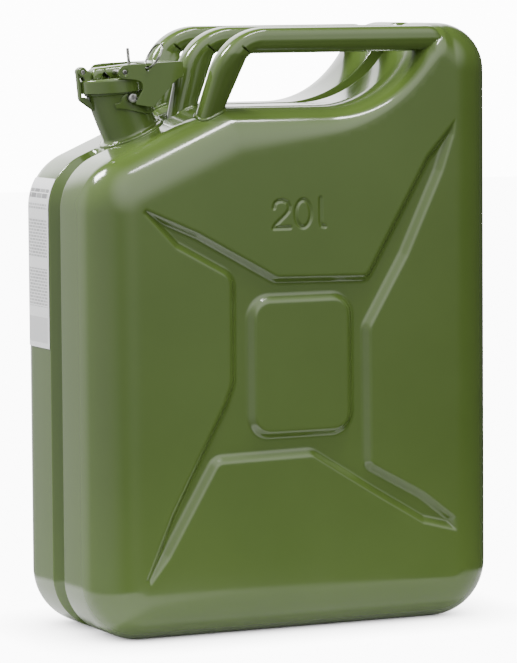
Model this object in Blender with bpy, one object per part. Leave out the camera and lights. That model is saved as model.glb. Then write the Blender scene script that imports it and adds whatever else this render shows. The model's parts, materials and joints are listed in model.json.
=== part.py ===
"""Steel jerry can of the twenty litre type, built from its separate pieces.

The can stands on the plane z = 0. +X runs from the neck to the back of the
handles, -Y is the front face and +Z is up.
"""
import math

import bmesh
import bpy
from mathutils import Matrix, Vector
from mathutils.geometry import delaunay_2d_cdt

# Overall body, in metres
BODY_WIDTH = 0.345
BODY_DEPTH = 0.165
BODY_HEIGHT = 0.472
SHEET = 0.0009
CLEARANCE = 0.0003
OVERRUN = 0.012

# Side view of the body
BASE_CORNER_RADIUS = 0.045
HUMP_CORNER_RADIUS = 0.037
HUMP_EDGE_RADIUS = 0.020
HUMP_EDGE_RUN = 0.0524
HUMP_ANGLE = math.radians(62.0)
RECESS_DEPTH = 0.062
RECESS_RADIUS = 0.095
RECESS_BEND_RADIUS = 0.040
SHOULDER_RUN = 0.1145
SHOULDER_ANGLE = math.radians(23.5)
SHOULDER_CORNER_RADIUS = 0.045

# Rounding from the narrow sides to the two wide faces
FACE_RADIUS = 0.0358
FACE_EDGE_RADIUS = 0.004
FACE_RECESS_RADIUS = 0.140
HUMP_EDGE_FACE_SHIFT_X = 0.0019
HUMP_EDGE_FACE_SHIFT_Z = 0.025
RECESS_FACE_SHIFT_X = 0.0131
RECESS_FACE_SHIFT_Z = 0.016

# Recessed channel round the narrow sides, where the halves meet
GROOVE_DEPTH = 0.007
GROOVE_FLOOR = 0.0045
GROOVE_WALL = 0.0100
GROOVE_WALL_SINK = 0.0012
GROOVE_LIP = 0.0145
SEAM_WIDTH = 0.003
SEAM_HEIGHT = 0.0022

# Pressed cross and centre panel on the wide faces
CROSS_DEPTH = 0.005
# Corners as shares of the flat face's width and of its height at the shoulder's
# end, with the rounding as a share of the width
CROSS_RIM_SHARES = (
    (-0.491, 0.982, 0.000), (-0.480, 0.995, 0.000), (-0.315, 0.930, 0.000), (-0.076, 0.811, 0.025),
    (0.202, 0.806, 0.015), (0.395, 1.108, 0.000), (0.480, 1.191, 0.000), (0.492, 1.206, 0.000),
    (0.487, 1.159, 0.000), (0.450, 1.064, 0.000), (0.337, 0.847, 0.000), (0.217, 0.665, 0.032),
    (0.220, 0.312, 0.019), (0.387, 0.229, 0.000), (0.490, 0.157, 0.000), (0.492, 0.116, 0.000),
    (0.380, 0.143, 0.000), (0.220, 0.229, 0.000), (0.028, 0.337, 0.032), (-0.261, 0.333, 0.025),
    (-0.414, 0.101, 0.000), (-0.476, 0.032, 0.000), (-0.491, 0.047, 0.000), (-0.410, 0.217, 0.000),
    (-0.249, 0.490, 0.000), (-0.227, 0.540, 0.038), (-0.226, 0.806, 0.038), (-0.391, 0.888, 0.000),
)
# Floor corners carry the share of the full depth as a fourth value
CROSS_FLOOR_SHARES = (
    (-0.472, 0.979, 0.000, 0.25), (-0.406, 0.957, 0.000, 0.8), (-0.307, 0.910, 0.000, 1.0),
    (-0.069, 0.783, 0.025, 1.0), (0.227, 0.781, 0.015, 1.0), (0.432, 1.097, 0.000, 0.9),
    (0.472, 1.153, 0.000, 0.25), (0.447, 1.089, 0.000, 0.8), (0.358, 0.940, 0.000, 1.0),
    (0.196, 0.690, 0.025, 1.0), (0.193, 0.292, 0.019, 1.0), (0.341, 0.220, 0.000, 1.0),
    (0.442, 0.165, 0.000, 0.7), (0.472, 0.145, 0.000, 0.25), (0.416, 0.151, 0.000, 0.8),
    (0.264, 0.226, 0.000, 1.0), (0.025, 0.364, 0.025, 1.0), (-0.268, 0.361, 0.025, 1.0),
    (-0.428, 0.110, 0.000, 0.75), (-0.473, 0.058, 0.000, 0.25), (-0.379, 0.229, 0.000, 1.0),
    (-0.202, 0.508, 0.050, 1.0), (-0.196, 0.819, 0.050, 1.0), (-0.414, 0.930, 0.000, 0.8),
)
PANEL_RIM_SHARES = (
    (-0.144, 0.411, 0.044), (0.141, 0.411, 0.044), (0.141, 0.741, 0.044), (-0.144, 0.741, 0.044),
)
PANEL_FOOT_SHARES = (
    (-0.172, 0.386, 0.057), (0.169, 0.386, 0.057), (0.169, 0.764, 0.057), (-0.172, 0.764, 0.057),
)

# Neck, square to the shoulder at its foot and level with the closure at its mouth
NECK_RUN = 0.054
NECK_LENGTH = 0.037
NECK_RADIUS = 0.0222
NECK_WALL = 0.0012
NECK_STRAIGHT = 0.008
NECK_FLANGE_RADIUS = 0.0255
NECK_FLANGE_THICKNESS = 0.0012
NECK_FILLET = 0.005
NECK_SPIGOT_RADIUS = 0.0204
NECK_SPIGOT_LENGTH = 0.006
NECK_BEAD = 0.0010
NECK_BEAD_LENGTH = 0.0022
NECK_MOUTH_DROP = 0.0005
NECK_PAD_MARGIN = 0.0010
NECK_PAD_BLEND = 0.009
BREATHER_RADIUS = 0.0035
BREATHER_WALL = 0.0008
BREATHER_TOP_DROP = 0.009
BREATHER_REACH = 0.028

# Three handles side by side
HANDLE_INSET = 0.0065
HANDLE_LEAN = 0.011
HANDLE_WIDTH = 0.022
HANDLE_HEIGHT = 0.020
HANDLE_WALL = 0.0012
HANDLE_DROP = 0.0015
HANDLE_ROUNDING = 0.0075
HANDLE_BEND_RADIUS = 0.045
HANDLE_BEND_ANGLE = math.radians(78.0)
HANDLE_BEND_RUN = 0.1485
HANDLE_INNER_RUN = 0.1350
HANDLE_INNER_RADIUS = 0.005
HANDLE_INNER_ANGLE = math.radians(69.7)
HANDLE_END_RUN = 0.0415
HANDLE_END_SLANT = 0.012

# Closure frame: origin at the middle of the mouth, u along the lid, w up from it
CLOSURE_TILT = math.radians(5.5)
LID_CENTRE_U = -0.001
LID_RADIUS = 0.0258
LID_SHEET = 0.0012
LID_TOP_W = 0.0105
LID_SKIRT_W = -0.0010
LID_CROWN_RADIUS = 0.0015
RIVET_RADIUS = 0.0025
RIVET_HEAD_RADIUS = 0.0045
RIVET_HEAD_HEIGHT = 0.0011
GASKET_THICKNESS = 0.0030
GASKET_INNER_RADIUS = 0.0165
SEAL_DISH_RADIUS = 0.009
SEAL_DISH_FOOT_RADIUS = 0.015

# Hinge on the outer side of the neck
HINGE_W = 0.017
HINGE_PIN_RADIUS = 0.0017
KNUCKLE_RADIUS = 0.0041
KNUCKLE_GAP = 0.0004
BRACKET_HALF = 0.0026
BRACKET_SHEET = 0.0020
BRACKET_GAP = 0.0006
BRACKET_KNEE_W = -0.0025
BRACKET_KNEE_RUN = 0.0034
BRACKET_FOOT_U = -0.0170
BRACKET_FOOT_W = -0.0150
BRACKET_FOOT_HEIGHT = 0.0045
LID_EAR = 0.0016
LID_EAR_RADIUS = 0.0036
LID_EAR_REACH = 0.0110
LID_EAR_TOP = 0.0018
LID_HEM_RISE = 0.0010
LID_HEM_RUN = 0.0240
PIN_PROUD = 0.0008

# Bridge on the lid that carries the lever
BRIDGE_HALF = 0.0080
BRIDGE_SHEET = 0.0015
BRIDGE_TOP_W = 0.0190
BRIDGE_LEFT_U = -0.0185
BRIDGE_TOP_LEFT_U = -0.0164
BRIDGE_CORNER_RADIUS = 0.0050
BRIDGE_RIGHT_U = 0.020
BRIDGE_NOTCH_HALF = 0.0045
BRIDGE_NOTCH_U = -0.0090
BRIDGE_NOTCH_RISE = 0.0055
BRIDGE_TOE_U = 0.009
BRIDGE_NOSE_W = 0.0150
BRIDGE_LAP = 0.0001
PIVOT_U = -0.0006
PIVOT_W = 0.0146
PIVOT_RADIUS = 0.0019
PIVOT_PROUD = 0.0010

# Locking lever, a channel that straddles the lid
LEVER_PLATE_Y = 0.027
LEVER_PLATE = 0.002
LEVER_WEB = 0.0016
LEVER_WEB_U = 0.0250
LEVER_EAR_RADIUS = 0.0054
LEVER_EAR_SWEEP = math.radians(152.0)
LEVER_SHOULDER_U = 0.0045
LEVER_SHOULDER_W = 0.0202
LEVER_END_U = 0.0484
LEVER_END_W = 0.0179
LEVER_END_FOOT_W = 0.0060
LEVER_STEP_U = 0.0421
LEVER_STEP_W = 0.0045
LEVER_TIP_U = 0.0202
LEVER_TIP_W = -0.0149
LEVER_JAW_U = 0.0062
LEVER_JAW_W = -0.0112
LEVER_MOUTH_U = 0.0129
LEVER_MOUTH_W = 0.0038
LEVER_BROW_U = 0.0083
LEVER_BROW_W = 0.0077
LUG_U = 0.0036
LUG_W = -0.0058
LUG_RADIUS = 0.0036
LUG_PROUD = 0.0012
HOOK_GAP = 0.0004
HOOK_ANGLE = math.radians(38.0)
HOOK_REACH = 0.0016

# Split ring in the near plate of the lever
RING_U = 0.0184
RING_W = 0.0154
RING_RADIUS = 0.0110
RING_WIRE = 0.0009
RING_HOLE = 0.0019
RING_LEAN = math.radians(54.5)

# Safety pin standing in the bridge
SAFETY_PIN_U = 0.0155
SAFETY_PIN_RADIUS = 0.00125
SAFETY_PIN_TOP_W = 0.0315

# Strap round the inner side of the neck, which carries the lugs
STRAP_SHEET = 0.0018
STRAP_HALF_ANGLE = math.radians(118.0)
STRAP_TOP = 0.0085
STRAP_TIP_FOOT = 0.0125
STRAP_FOOT = 0.0260
STRAP_EAR_ANGLE = math.radians(16.0)
STRAP_TAPER_SHARE = 0.625

# Paper sticker on the narrow side behind the seam
LABEL_FOOT = 0.222
LABEL_HEIGHT = 0.132
LABEL_WIDTH = 0.0315
LABEL_WRAP = math.radians(20.0)
LABEL_WRAP_STEPS = 4
LABEL_THICKNESS = 0.00025

# Facet counts
ARC_STEPS = 6
RECESS_STEPS = 9
ROUNDING_STEPS = 5
LINING_STEPS = 3
SHOULDER_STEPS = 14
NECK_SEGMENTS = 28
LID_SEGMENTS = 36
PIN_SEGMENTS = 14
TUBE_SIDES = 4
BEND_STEPS = 6
RING_SEGMENTS = 28
RING_SIDES = 8
STRAP_STEPS = 18

HINGE_U = LID_CENTRE_U - LID_RADIUS - BRACKET_GAP - BRACKET_SHEET + KNUCKLE_RADIUS
HALF_WIDTH = BODY_WIDTH / 2
HALF_DEPTH = BODY_DEPTH / 2
SIDE_FLAT = HALF_DEPTH - FACE_RADIUS
RECESS_Z = BODY_HEIGHT - RECESS_DEPTH
HANDLE_SPACING = HALF_DEPTH - HANDLE_INSET - HANDLE_WIDTH / 2

FINISHES = {
    "enamel": ((0.105, 0.141, 0.041, 1.0), 0.22, 0.0),
    "zinc": ((0.62, 0.62, 0.60, 1.0), 0.35, 1.0),
    "rubber": ((0.02, 0.02, 0.02, 1.0), 0.7, 0.0),
    "paper": ((0.80, 0.80, 0.78, 1.0), 0.6, 0.0),
}


def clear_scene():
    for obj in list(bpy.data.objects):
        bpy.data.objects.remove(obj, do_unlink=True)


def material(name, finish):
    colour, roughness, metallic = FINISHES[finish]
    mat = bpy.data.materials.new(name + "_" + finish)
    mat.use_nodes = True
    shader = mat.node_tree.nodes["Principled BSDF"]
    shader.inputs["Base Color"].default_value = colour
    shader.inputs["Roughness"].default_value = roughness
    shader.inputs["Metallic"].default_value = metallic
    return mat


def make_object(name, bm, finish, smooth_angle=math.radians(35.0)):
    """Turns a bmesh into a named object with outward faces and its own material."""
    bmesh.ops.recalc_face_normals(bm, faces=bm.faces)
    mesh = bpy.data.meshes.new(name)
    bm.to_mesh(mesh)
    bm.free()
    mesh.materials.append(material(name, finish))
    mesh.shade_smooth()
    mesh.set_sharp_from_angle(angle=smooth_angle)
    obj = bpy.data.objects.new(name, mesh)
    bpy.context.scene.collection.objects.link(obj)
    return obj


def make_tool(name, bm):
    """A cutter or a joining shape, which is not a piece of the can."""
    obj = make_object(name, bm, "enamel")
    obj.hide_render = True
    obj.display_type = "WIRE"
    return obj


def boolean(obj, tool, operation):
    modifier = obj.modifiers.new(operation.lower(), "BOOLEAN")
    modifier.operation = operation
    modifier.solver = "EXACT"
    modifier.object = tool


def make_empty(name, parent, location, rotation_y=0.0):
    empty = bpy.data.objects.new(name, None)
    bpy.context.scene.collection.objects.link(empty)
    empty.parent = parent
    empty.location = location
    empty.rotation_euler = (0.0, rotation_y, 0.0)
    return empty


def hang(obj, axis):
    """Puts an object drawn in the closure frame on the empty of its axis."""
    obj.data.transform(Matrix.Translation(-axis.location))
    obj.parent = axis


def smoothstep(value):
    value = min(max(value, 0.0), 1.0)
    return value * value * (3.0 - 2.0 * value)


def rounded_loop(corners):
    """Points and outward normals round a counter-clockwise outline.

    Each corner is (point, radius, arc steps, points along the edge after it).
    """
    count = len(corners)
    spans = []
    for index, (point, radius, steps, _) in enumerate(corners):
        before = corners[index - 1][0]
        after = corners[(index + 1) % count][0]
        arriving = (point - before).normalized()
        leaving = (after - point).normalized()
        turn = arriving.angle_signed(leaving) * -1.0
        reach = radius * abs(math.tan(turn / 2))
        start = point - arriving * reach
        side = math.copysign(1.0, turn)
        outward = Vector((arriving.y, -arriving.x))
        centre = start - outward * side * radius
        span = []
        for step in range(steps + 1):
            angle = turn * step / steps
            normal = outward.copy()
            normal.rotate(Matrix.Rotation(angle, 2))
            span.append((centre + normal * side * radius, normal))
        spans.append(span)
    loop = []
    for index, span in enumerate(spans):
        loop.extend(span)
        first, normal = span[-1]
        last = spans[(index + 1) % count][0][0]
        extra = corners[index][3]
        for step in range(1, extra + 1):
            loop.append((first.lerp(last, step / (extra + 1)), normal))
    return loop


def side_corners():
    """Corners of the body's side view, counter-clockwise from the front base corner."""
    edge_x = HALF_WIDTH - HUMP_EDGE_RUN
    recess_x = edge_x - RECESS_DEPTH / math.tan(HUMP_ANGLE)
    bend_x = SHOULDER_RUN - HALF_WIDTH
    shoulder_z = RECESS_Z - SHOULDER_RUN * math.tan(SHOULDER_ANGLE)
    return [
        (Vector((HALF_WIDTH, 0.0)), BASE_CORNER_RADIUS, ARC_STEPS, 0),
        (Vector((HALF_WIDTH, BODY_HEIGHT)), HUMP_CORNER_RADIUS, ARC_STEPS, 0),
        (Vector((edge_x, BODY_HEIGHT)), HUMP_EDGE_RADIUS, ARC_STEPS, 0),
        (Vector((recess_x, RECESS_Z)), RECESS_RADIUS, RECESS_STEPS, 2),
        (Vector((bend_x, RECESS_Z)), RECESS_BEND_RADIUS, ARC_STEPS, SHOULDER_STEPS),
        (Vector((-HALF_WIDTH, shoulder_z)), SHOULDER_CORNER_RADIUS, ARC_STEPS, 0),
        (Vector((-HALF_WIDTH, 0.0)), BASE_CORNER_RADIUS, ARC_STEPS, 0),
    ]


def inner_corner(corners, index, inset):
    """The corner that two neighbouring edges make when both move in by one inset."""
    point = corners[index][0]
    arriving = (point - corners[index - 1][0]).normalized()
    leaving = (corners[(index + 1) % len(corners)][0] - point).normalized()
    normals = Vector((arriving.y, -arriving.x)) + Vector((leaving.y, -leaving.x))
    return point - normals * (inset / (1.0 + arriving.dot(leaving)))


def face_corners():
    """Corners of the flat wide face, matched one to one with the side view."""
    corners = side_corners()
    flat = []
    for index, (point, radius, steps, extra) in enumerate(corners):
        radius = max(radius - FACE_RADIUS, FACE_EDGE_RADIUS)
        flat.append([inner_corner(corners, index, FACE_RADIUS), radius, steps, extra])
    _, _, edge, recess, _, _, _ = corners
    _, _, flat_edge, flat_recess, _, _, _ = flat
    flat_edge[0] = edge[0] + Vector((HUMP_EDGE_FACE_SHIFT_X, -HUMP_EDGE_FACE_SHIFT_Z))
    flat_recess[0] = recess[0] - Vector((RECESS_FACE_SHIFT_X, RECESS_FACE_SHIFT_Z))
    flat_recess[1] = FACE_RECESS_RADIUS
    return [tuple(corner) for corner in flat]


def neck_axis():
    """Foot of the neck on the shoulder and the direction square to it."""
    bend = Vector((SHOULDER_RUN - HALF_WIDTH, RECESS_Z))
    along = Vector((-math.cos(SHOULDER_ANGLE), -math.sin(SHOULDER_ANGLE)))
    return bend + along * NECK_RUN, Vector((along.y, -along.x))


def groove_share(point):
    """One where the groove has its full depth, zero on the pad under the neck."""
    foot, _ = neck_axis()
    pad = NECK_FLANGE_RADIUS + NECK_PAD_MARGIN
    return smoothstep(((point - foot).length - pad) / NECK_PAD_BLEND)


def body_rings(swell, rounding_steps, groove):
    """Half of the body's skin as rings of (x, z) with their distance from the middle.

    The skin is moved outwards by swell. Without the groove's lip the rings are fewer.
    """
    outline = rounded_loop(side_corners())
    face = rounded_loop(face_corners())
    stations = [(GROOVE_DEPTH, CLEARANCE / 2), (GROOVE_DEPTH, GROOVE_FLOOR)]
    if groove:
        stations.append((GROOVE_WALL_SINK, GROOVE_WALL))
    stations.append((0.0, GROOVE_LIP))
    stations.append((0.0, SIDE_FLAT))
    rings = []
    for sink, y in stations:
        ring = [point + normal * (swell - sink * groove_share(point)) for point, normal in outline]
        rings.append((ring, y))
    for step in range(1, rounding_steps + 1):
        angle = math.pi / 2 * step / rounding_steps
        ring = []
        for (point, normal), (flat, _) in zip(outline, face):
            ring.append((point + normal * swell).lerp(flat, 1.0 - math.cos(angle)))
        rings.append((ring, SIDE_FLAT + (FACE_RADIUS + swell) * math.sin(angle)))
    return rings


def share_loop(table):
    """Rounded outline of a pressing, with the depth share of each point."""
    width = BODY_WIDTH - FACE_RADIUS * 2
    _, _, _, _, _, shoulder, _ = face_corners()
    height = shoulder[0].y - FACE_RADIUS
    corners = []
    for row in table:
        point = Vector((row[0] * width, FACE_RADIUS + row[1] * height))
        corners.append((point, row[2] * width, 1 if row[2] == 0.0 else 3, 0))
    points = []
    for row, corner in zip(table, corners):
        depth = row[3] if len(row) > 3 else 1.0
        count = corner[2] + 1
        points.extend([depth] * count)
    loop = [point for point, _ in rounded_loop(corners)]
    merged = []
    for point, depth in zip(loop, points):
        if not merged or (point - merged[-1][0]).length > CLEARANCE:
            merged.append((point, depth))
    return merged


def pressed_face(boundary):
    """Flat face with its pressings: points as (x, z, depth) and triangles."""
    points = [(point, 0.0) for point in boundary]
    loops = [list(range(len(boundary)))]
    pressings = (
        (CROSS_RIM_SHARES, 0.0),
        (CROSS_FLOOR_SHARES, CROSS_DEPTH),
        (PANEL_FOOT_SHARES, CROSS_DEPTH),
        (PANEL_RIM_SHARES, 0.0),
    )
    for table, depth in pressings:
        start = len(points)
        points.extend((point, depth * share) for point, share in share_loop(table))
        loops.append(list(range(start, len(points))))
    edges = []
    for loop in loops[1:]:
        edges.extend(zip(loop, loop[1:] + loop[:1]))
    result = delaunay_2d_cdt([point for point, _ in points], edges, [loops[0]], 1, CLEARANCE / 10)
    coords = result[0]
    depths = [points[original[0]][1] for original in result[3]]
    origins = [original[0] for original in result[3]]
    return [(point.x, point.y, depth) for point, depth in zip(coords, depths)], result[2], origins


def skin(bm, rings, side, sheet):
    """Rings and the pressed face of one skin of a half. Returns its first ring."""
    layers = []
    for ring, y in rings:
        layers.append([bm.verts.new((point.x, side * y, point.y)) for point in ring])
    for lower, upper in zip(layers, layers[1:]):
        drape(bm, lower, upper)
    boundary = rings[-1][0]
    points, triangles, origins = pressed_face(boundary)
    verts = []
    for (x, z, depth), origin in zip(points, origins):
        if origin < len(boundary):
            verts.append(layers[-1][origin])
        else:
            verts.append(bm.verts.new((x, side * (HALF_DEPTH - sheet - depth), z)))
    for triangle in triangles:
        bm.faces.new([verts[index] for index in triangle])
    return layers[0]


def drape(bm, lower, upper):
    """Triangles between two rings of the body, split the same way on every skin."""
    count = len(lower)
    for index in range(count):
        after = (index + 1) % count
        bm.faces.new((lower[index], lower[after], upper[after]))
        bm.faces.new((lower[index], upper[after], upper[index]))


def bridge(bm, lower, upper):
    count = len(lower)
    for index in range(count):
        after = (index + 1) % count
        bm.faces.new((lower[index], lower[after], upper[after], upper[index]))


def make_shell(name, side):
    """One pressed half of the body, open towards the other half."""
    bm = bmesh.new()
    outside = skin(bm, body_rings(0.0, ROUNDING_STEPS, True), side, 0.0)
    inside = skin(bm, body_rings(-SHEET, LINING_STEPS, False), side, SHEET)
    bridge(bm, outside, inside)
    return make_object(name, bm, "enamel")


def make_envelope(name, swell):
    """The body's outer shape as one solid, to trim what stands on it."""
    rings = body_rings(swell, ROUNDING_STEPS, True)[1:]
    bm = bmesh.new()
    middle = []
    for side in (-1.0, 1.0):
        layers = []
        for ring, y in rings:
            layers.append([bm.verts.new((point.x, side * y, point.y)) for point in ring])
        for lower, upper in zip(layers, layers[1:]):
            drape(bm, lower, upper)
        bm.faces.new(layers[-1])
        middle.append(layers[0])
    bridge(bm, middle[0], middle[1])
    return make_tool(name, bm)


def make_seam(name, margin):
    """Strip of weld along the groove's floor, open at the neck."""
    outline = rounded_loop(side_corners())
    start = 0
    for index, (point, _) in enumerate(outline):
        if groove_share(outline[index - 1][0]) < 1.0 <= groove_share(point):
            start = index
    around = outline[start:] + outline[:start]
    strip = [(point, normal) for point, normal in around if groove_share(point) >= 1.0]
    bm = bmesh.new()
    foot = GROOVE_DEPTH - CLEARANCE + margin
    head = GROOVE_DEPTH - CLEARANCE - SEAM_HEIGHT - margin
    half = SEAM_WIDTH / 2 + margin
    layers = []
    for point, normal in strip:
        low = point - normal * foot
        high = point - normal * head
        section = ((low, -half), (low, half), (high, half), (high, -half))
        layers.append([bm.verts.new((place.x, y, place.y)) for place, y in section])
    for lower, upper in zip(layers, layers[1:]):
        bridge(bm, lower, upper)
    bm.faces.new(layers[0])
    bm.faces.new(layers[-1])
    return bm


def neck_point(rise, angle, radius):
    """A point round the neck's axis, in world space."""
    foot, up = neck_axis()
    share = smoothstep((rise - NECK_STRAIGHT) / (NECK_LENGTH - NECK_STRAIGHT))
    tilt = SHOULDER_ANGLE + (CLOSURE_TILT - SHOULDER_ANGLE) * share
    centre = foot + up * rise
    reach = radius * math.cos(angle)
    x = centre.x + reach * math.cos(tilt)
    z = centre.y + reach * math.sin(tilt)
    return Vector((x, radius * math.sin(angle), z))


def neck_tube(profile, segments):
    """A closed profile of (rise, radius) carried round the neck."""
    bm = bmesh.new()
    layers = []
    for rise, radius in profile:
        layer = []
        for step in range(segments):
            layer.append(bm.verts.new(neck_point(rise, math.tau * step / segments, radius)))
        layers.append(layer)
    for index, layer in enumerate(layers):
        bridge(bm, layers[index - 1], layer)
    return bm


def make_neck():
    mouth = NECK_LENGTH - NECK_MOUTH_DROP
    inner = NECK_RADIUS - NECK_WALL
    spigot_inner = NECK_SPIGOT_RADIUS - NECK_WALL
    flange_top = CLEARANCE + NECK_FLANGE_THICKNESS
    fillet_top = flange_top + NECK_FILLET
    bead_foot = mouth - NECK_BEAD_LENGTH
    profile = [
        (-NECK_SPIGOT_LENGTH, spigot_inner),
        (-NECK_SPIGOT_LENGTH, NECK_SPIGOT_RADIUS),
        (CLEARANCE, NECK_SPIGOT_RADIUS),
        (CLEARANCE, NECK_FLANGE_RADIUS),
        (flange_top, NECK_FLANGE_RADIUS),
        (flange_top + NECK_FILLET / 3, NECK_RADIUS + NECK_FILLET / 5),
        (fillet_top, NECK_RADIUS),
        (fillet_top + (bead_foot - fillet_top) / 2, NECK_RADIUS),
        (bead_foot, NECK_RADIUS),
        (bead_foot + NECK_BEAD_LENGTH / 3, NECK_RADIUS + NECK_BEAD),
        (mouth, NECK_RADIUS + NECK_BEAD),
        (mouth, inner),
        (bead_foot, inner),
        (fillet_top + (bead_foot - fillet_top) / 2, inner),
        (fillet_top, inner),
    ]
    return make_object("neck", neck_tube(profile, NECK_SEGMENTS), "enamel")


def make_breather():
    """Air pipe that lies against the neck's inner side and reaches into the body."""
    foot, up = neck_axis()
    offset = NECK_SPIGOT_RADIUS - NECK_WALL - CLEARANCE - BREATHER_RADIUS
    across = Vector((up.y, -up.x)) * offset
    low = foot + across - up * BREATHER_REACH
    high = foot + across + up * (NECK_LENGTH - BREATHER_TOP_DROP)
    rotation = Matrix.Rotation(math.atan2(up.x, up.y), 4, "Y")
    length = (high - low).length
    bm = bmesh.new()
    inner = BREATHER_RADIUS - BREATHER_WALL
    layers = []
    for radius, height in ((inner, 0.0), (BREATHER_RADIUS, 0.0), (BREATHER_RADIUS, length), (inner, length)):
        layer = []
        for step in range(PIN_SEGMENTS):
            angle = math.tau * step / PIN_SEGMENTS
            layer.append(bm.verts.new((radius * math.cos(angle), radius * math.sin(angle), height)))
        layers.append(layer)
    for index, layer in enumerate(layers):
        bridge(bm, layers[index - 1], layer)
    obj = make_object("breather_tube", bm, "zinc")
    obj.data.transform(Matrix.Translation((low.x, 0.0, low.y)) @ rotation)
    return obj


def handle_path():
    """Pairs of points on the outer and inner side of a handle, foot first."""
    top = BODY_HEIGHT - HANDLE_DROP
    bend_x = HALF_WIDTH - BODY_WIDTH + HANDLE_BEND_RUN
    centre = Vector((bend_x, top - HANDLE_BEND_RADIUS))
    knee = Vector((HANDLE_INNER_RUN - HALF_WIDTH, top - HANDLE_HEIGHT))
    outer = []
    for step in range(BEND_STEPS + 1):
        angle = HANDLE_BEND_ANGLE * (1.0 - step / BEND_STEPS)
        outer.append(centre + Vector((-math.sin(angle), math.cos(angle))) * HANDLE_BEND_RADIUS)
    reach = HANDLE_INNER_RADIUS * math.tan(HANDLE_INNER_ANGLE / 2)
    inner_centre = knee + Vector((reach, -HANDLE_INNER_RADIUS))
    inner = []
    for step in range(BEND_STEPS + 1):
        angle = HANDLE_INNER_ANGLE * (1.0 - step / BEND_STEPS)
        inner.append(inner_centre + Vector((-math.sin(angle), math.cos(angle))) * HANDLE_INNER_RADIUS)
    leg = RECESS_DEPTH - HANDLE_DROP + OVERRUN
    pairs = []
    outer_slope = Vector((-math.cos(HANDLE_BEND_ANGLE), -math.sin(HANDLE_BEND_ANGLE)))
    inner_slope = Vector((-math.cos(HANDLE_INNER_ANGLE), -math.sin(HANDLE_INNER_ANGLE)))
    outer_drop = (outer[0].y - top + leg) / math.sin(HANDLE_BEND_ANGLE)
    inner_drop = (inner[0].y - top + leg) / math.sin(HANDLE_INNER_ANGLE)
    pairs.append((outer[0] + outer_slope * outer_drop, inner[0] + inner_slope * inner_drop))
    pairs.extend(zip(outer, inner))
    end_x = HALF_WIDTH - HANDLE_END_RUN
    pairs.append((Vector((end_x - HANDLE_END_SLANT, top)), Vector((end_x, top - HANDLE_HEIGHT))))
    return pairs


def handle_section(outer, inner, wall):
    """Rounded box between the outer and inner side, shrunk by a wall."""
    across = (outer - inner).normalized()
    low = inner + across * wall
    high = outer - across * wall
    half_height = (high - low).length / 2
    half_width = HANDLE_WIDTH / 2 - wall
    radius = HANDLE_ROUNDING - wall
    middle = (low + high) / 2
    ring = []
    for quarter in range(4):
        side = 1.0 if quarter in (0, 3) else -1.0
        rise = 1.0 if quarter in (0, 1) else -1.0
        for step in range(TUBE_SIDES):
            angle = math.pi / 2 * (quarter + step / (TUBE_SIDES - 1))
            y = side * (half_width - radius) + radius * math.cos(angle)
            height = rise * (half_height - radius) + radius * math.sin(angle)
            place = middle + across * height
            ring.append(Vector((place.x, y, place.y)))
    return ring


def handle_place(y, z):
    """Place along Y of a handle's middle, whose leg leans in towards its foot."""
    knee_z = BODY_HEIGHT - HANDLE_DROP - HANDLE_HEIGHT
    lean = HANDLE_LEAN * max(0.0, knee_z - z) / (knee_z - RECESS_Z)
    return y - lean * y / HANDLE_SPACING


def make_handle(name, y, envelope, seam_tool):
    bm = bmesh.new()
    skins = []
    for wall in (0.0, HANDLE_WALL):
        layers = []
        for outer, inner in handle_path():
            ring = handle_section(outer, inner, wall)
            shift = Vector((0.0, handle_place(y, (outer.y + inner.y) / 2), 0.0))
            layers.append([bm.verts.new(point + shift) for point in ring])
        for lower, upper in zip(layers, layers[1:]):
            bridge(bm, lower, upper)
        skins.append(layers)
    bridge(bm, skins[0][0], skins[1][0])
    bridge(bm, skins[0][-1], skins[1][-1])
    obj = make_object(name, bm, "enamel")
    boolean(obj, envelope, "DIFFERENCE")
    if seam_tool:
        boolean(obj, seam_tool, "DIFFERENCE")
    return obj


def plate(outline, holes, low_y, high_y):
    """A flat plate in the closure frame, extruded along Y, with round holes."""
    bm = bmesh.new()
    loops = [[Vector(point) for point in outline]]
    for centre_u, centre_w, radius in holes:
        loop = []
        for step in range(PIN_SEGMENTS):
            angle = math.tau * step / PIN_SEGMENTS
            loop.append(Vector((centre_u + radius * math.cos(angle), centre_w + radius * math.sin(angle))))
        loops.append(loop)
    edges = []
    for loop in loops:
        verts = [bm.verts.new((point[0], low_y, point[1])) for point in loop]
        edges.extend(bm.edges.new((verts[index - 1], vert)) for index, vert in enumerate(verts))
    bmesh.ops.triangle_fill(bm, use_beauty=True, edges=edges)
    bottom = list(bm.faces)
    grown = bmesh.ops.extrude_face_region(bm, geom=bottom, use_keep_orig=True)
    verts = [item for item in grown["geom"] if isinstance(item, bmesh.types.BMVert)]
    bmesh.ops.translate(bm, verts=verts, vec=(0.0, high_y - low_y, 0.0))
    return bm


def cylinder_y(centre_u, centre_w, radius, low_y, high_y, segments=PIN_SEGMENTS):
    """A round pin along Y in the closure frame."""
    bm = bmesh.new()
    rotation = Matrix.Rotation(math.pi / 2, 4, "X")
    place = Matrix.Translation((centre_u, (low_y + high_y) / 2, centre_w)) @ rotation
    bmesh.ops.create_cone(bm, cap_ends=True, segments=segments, radius1=radius, radius2=radius,
                          depth=high_y - low_y, matrix=place)
    return bm


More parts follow.
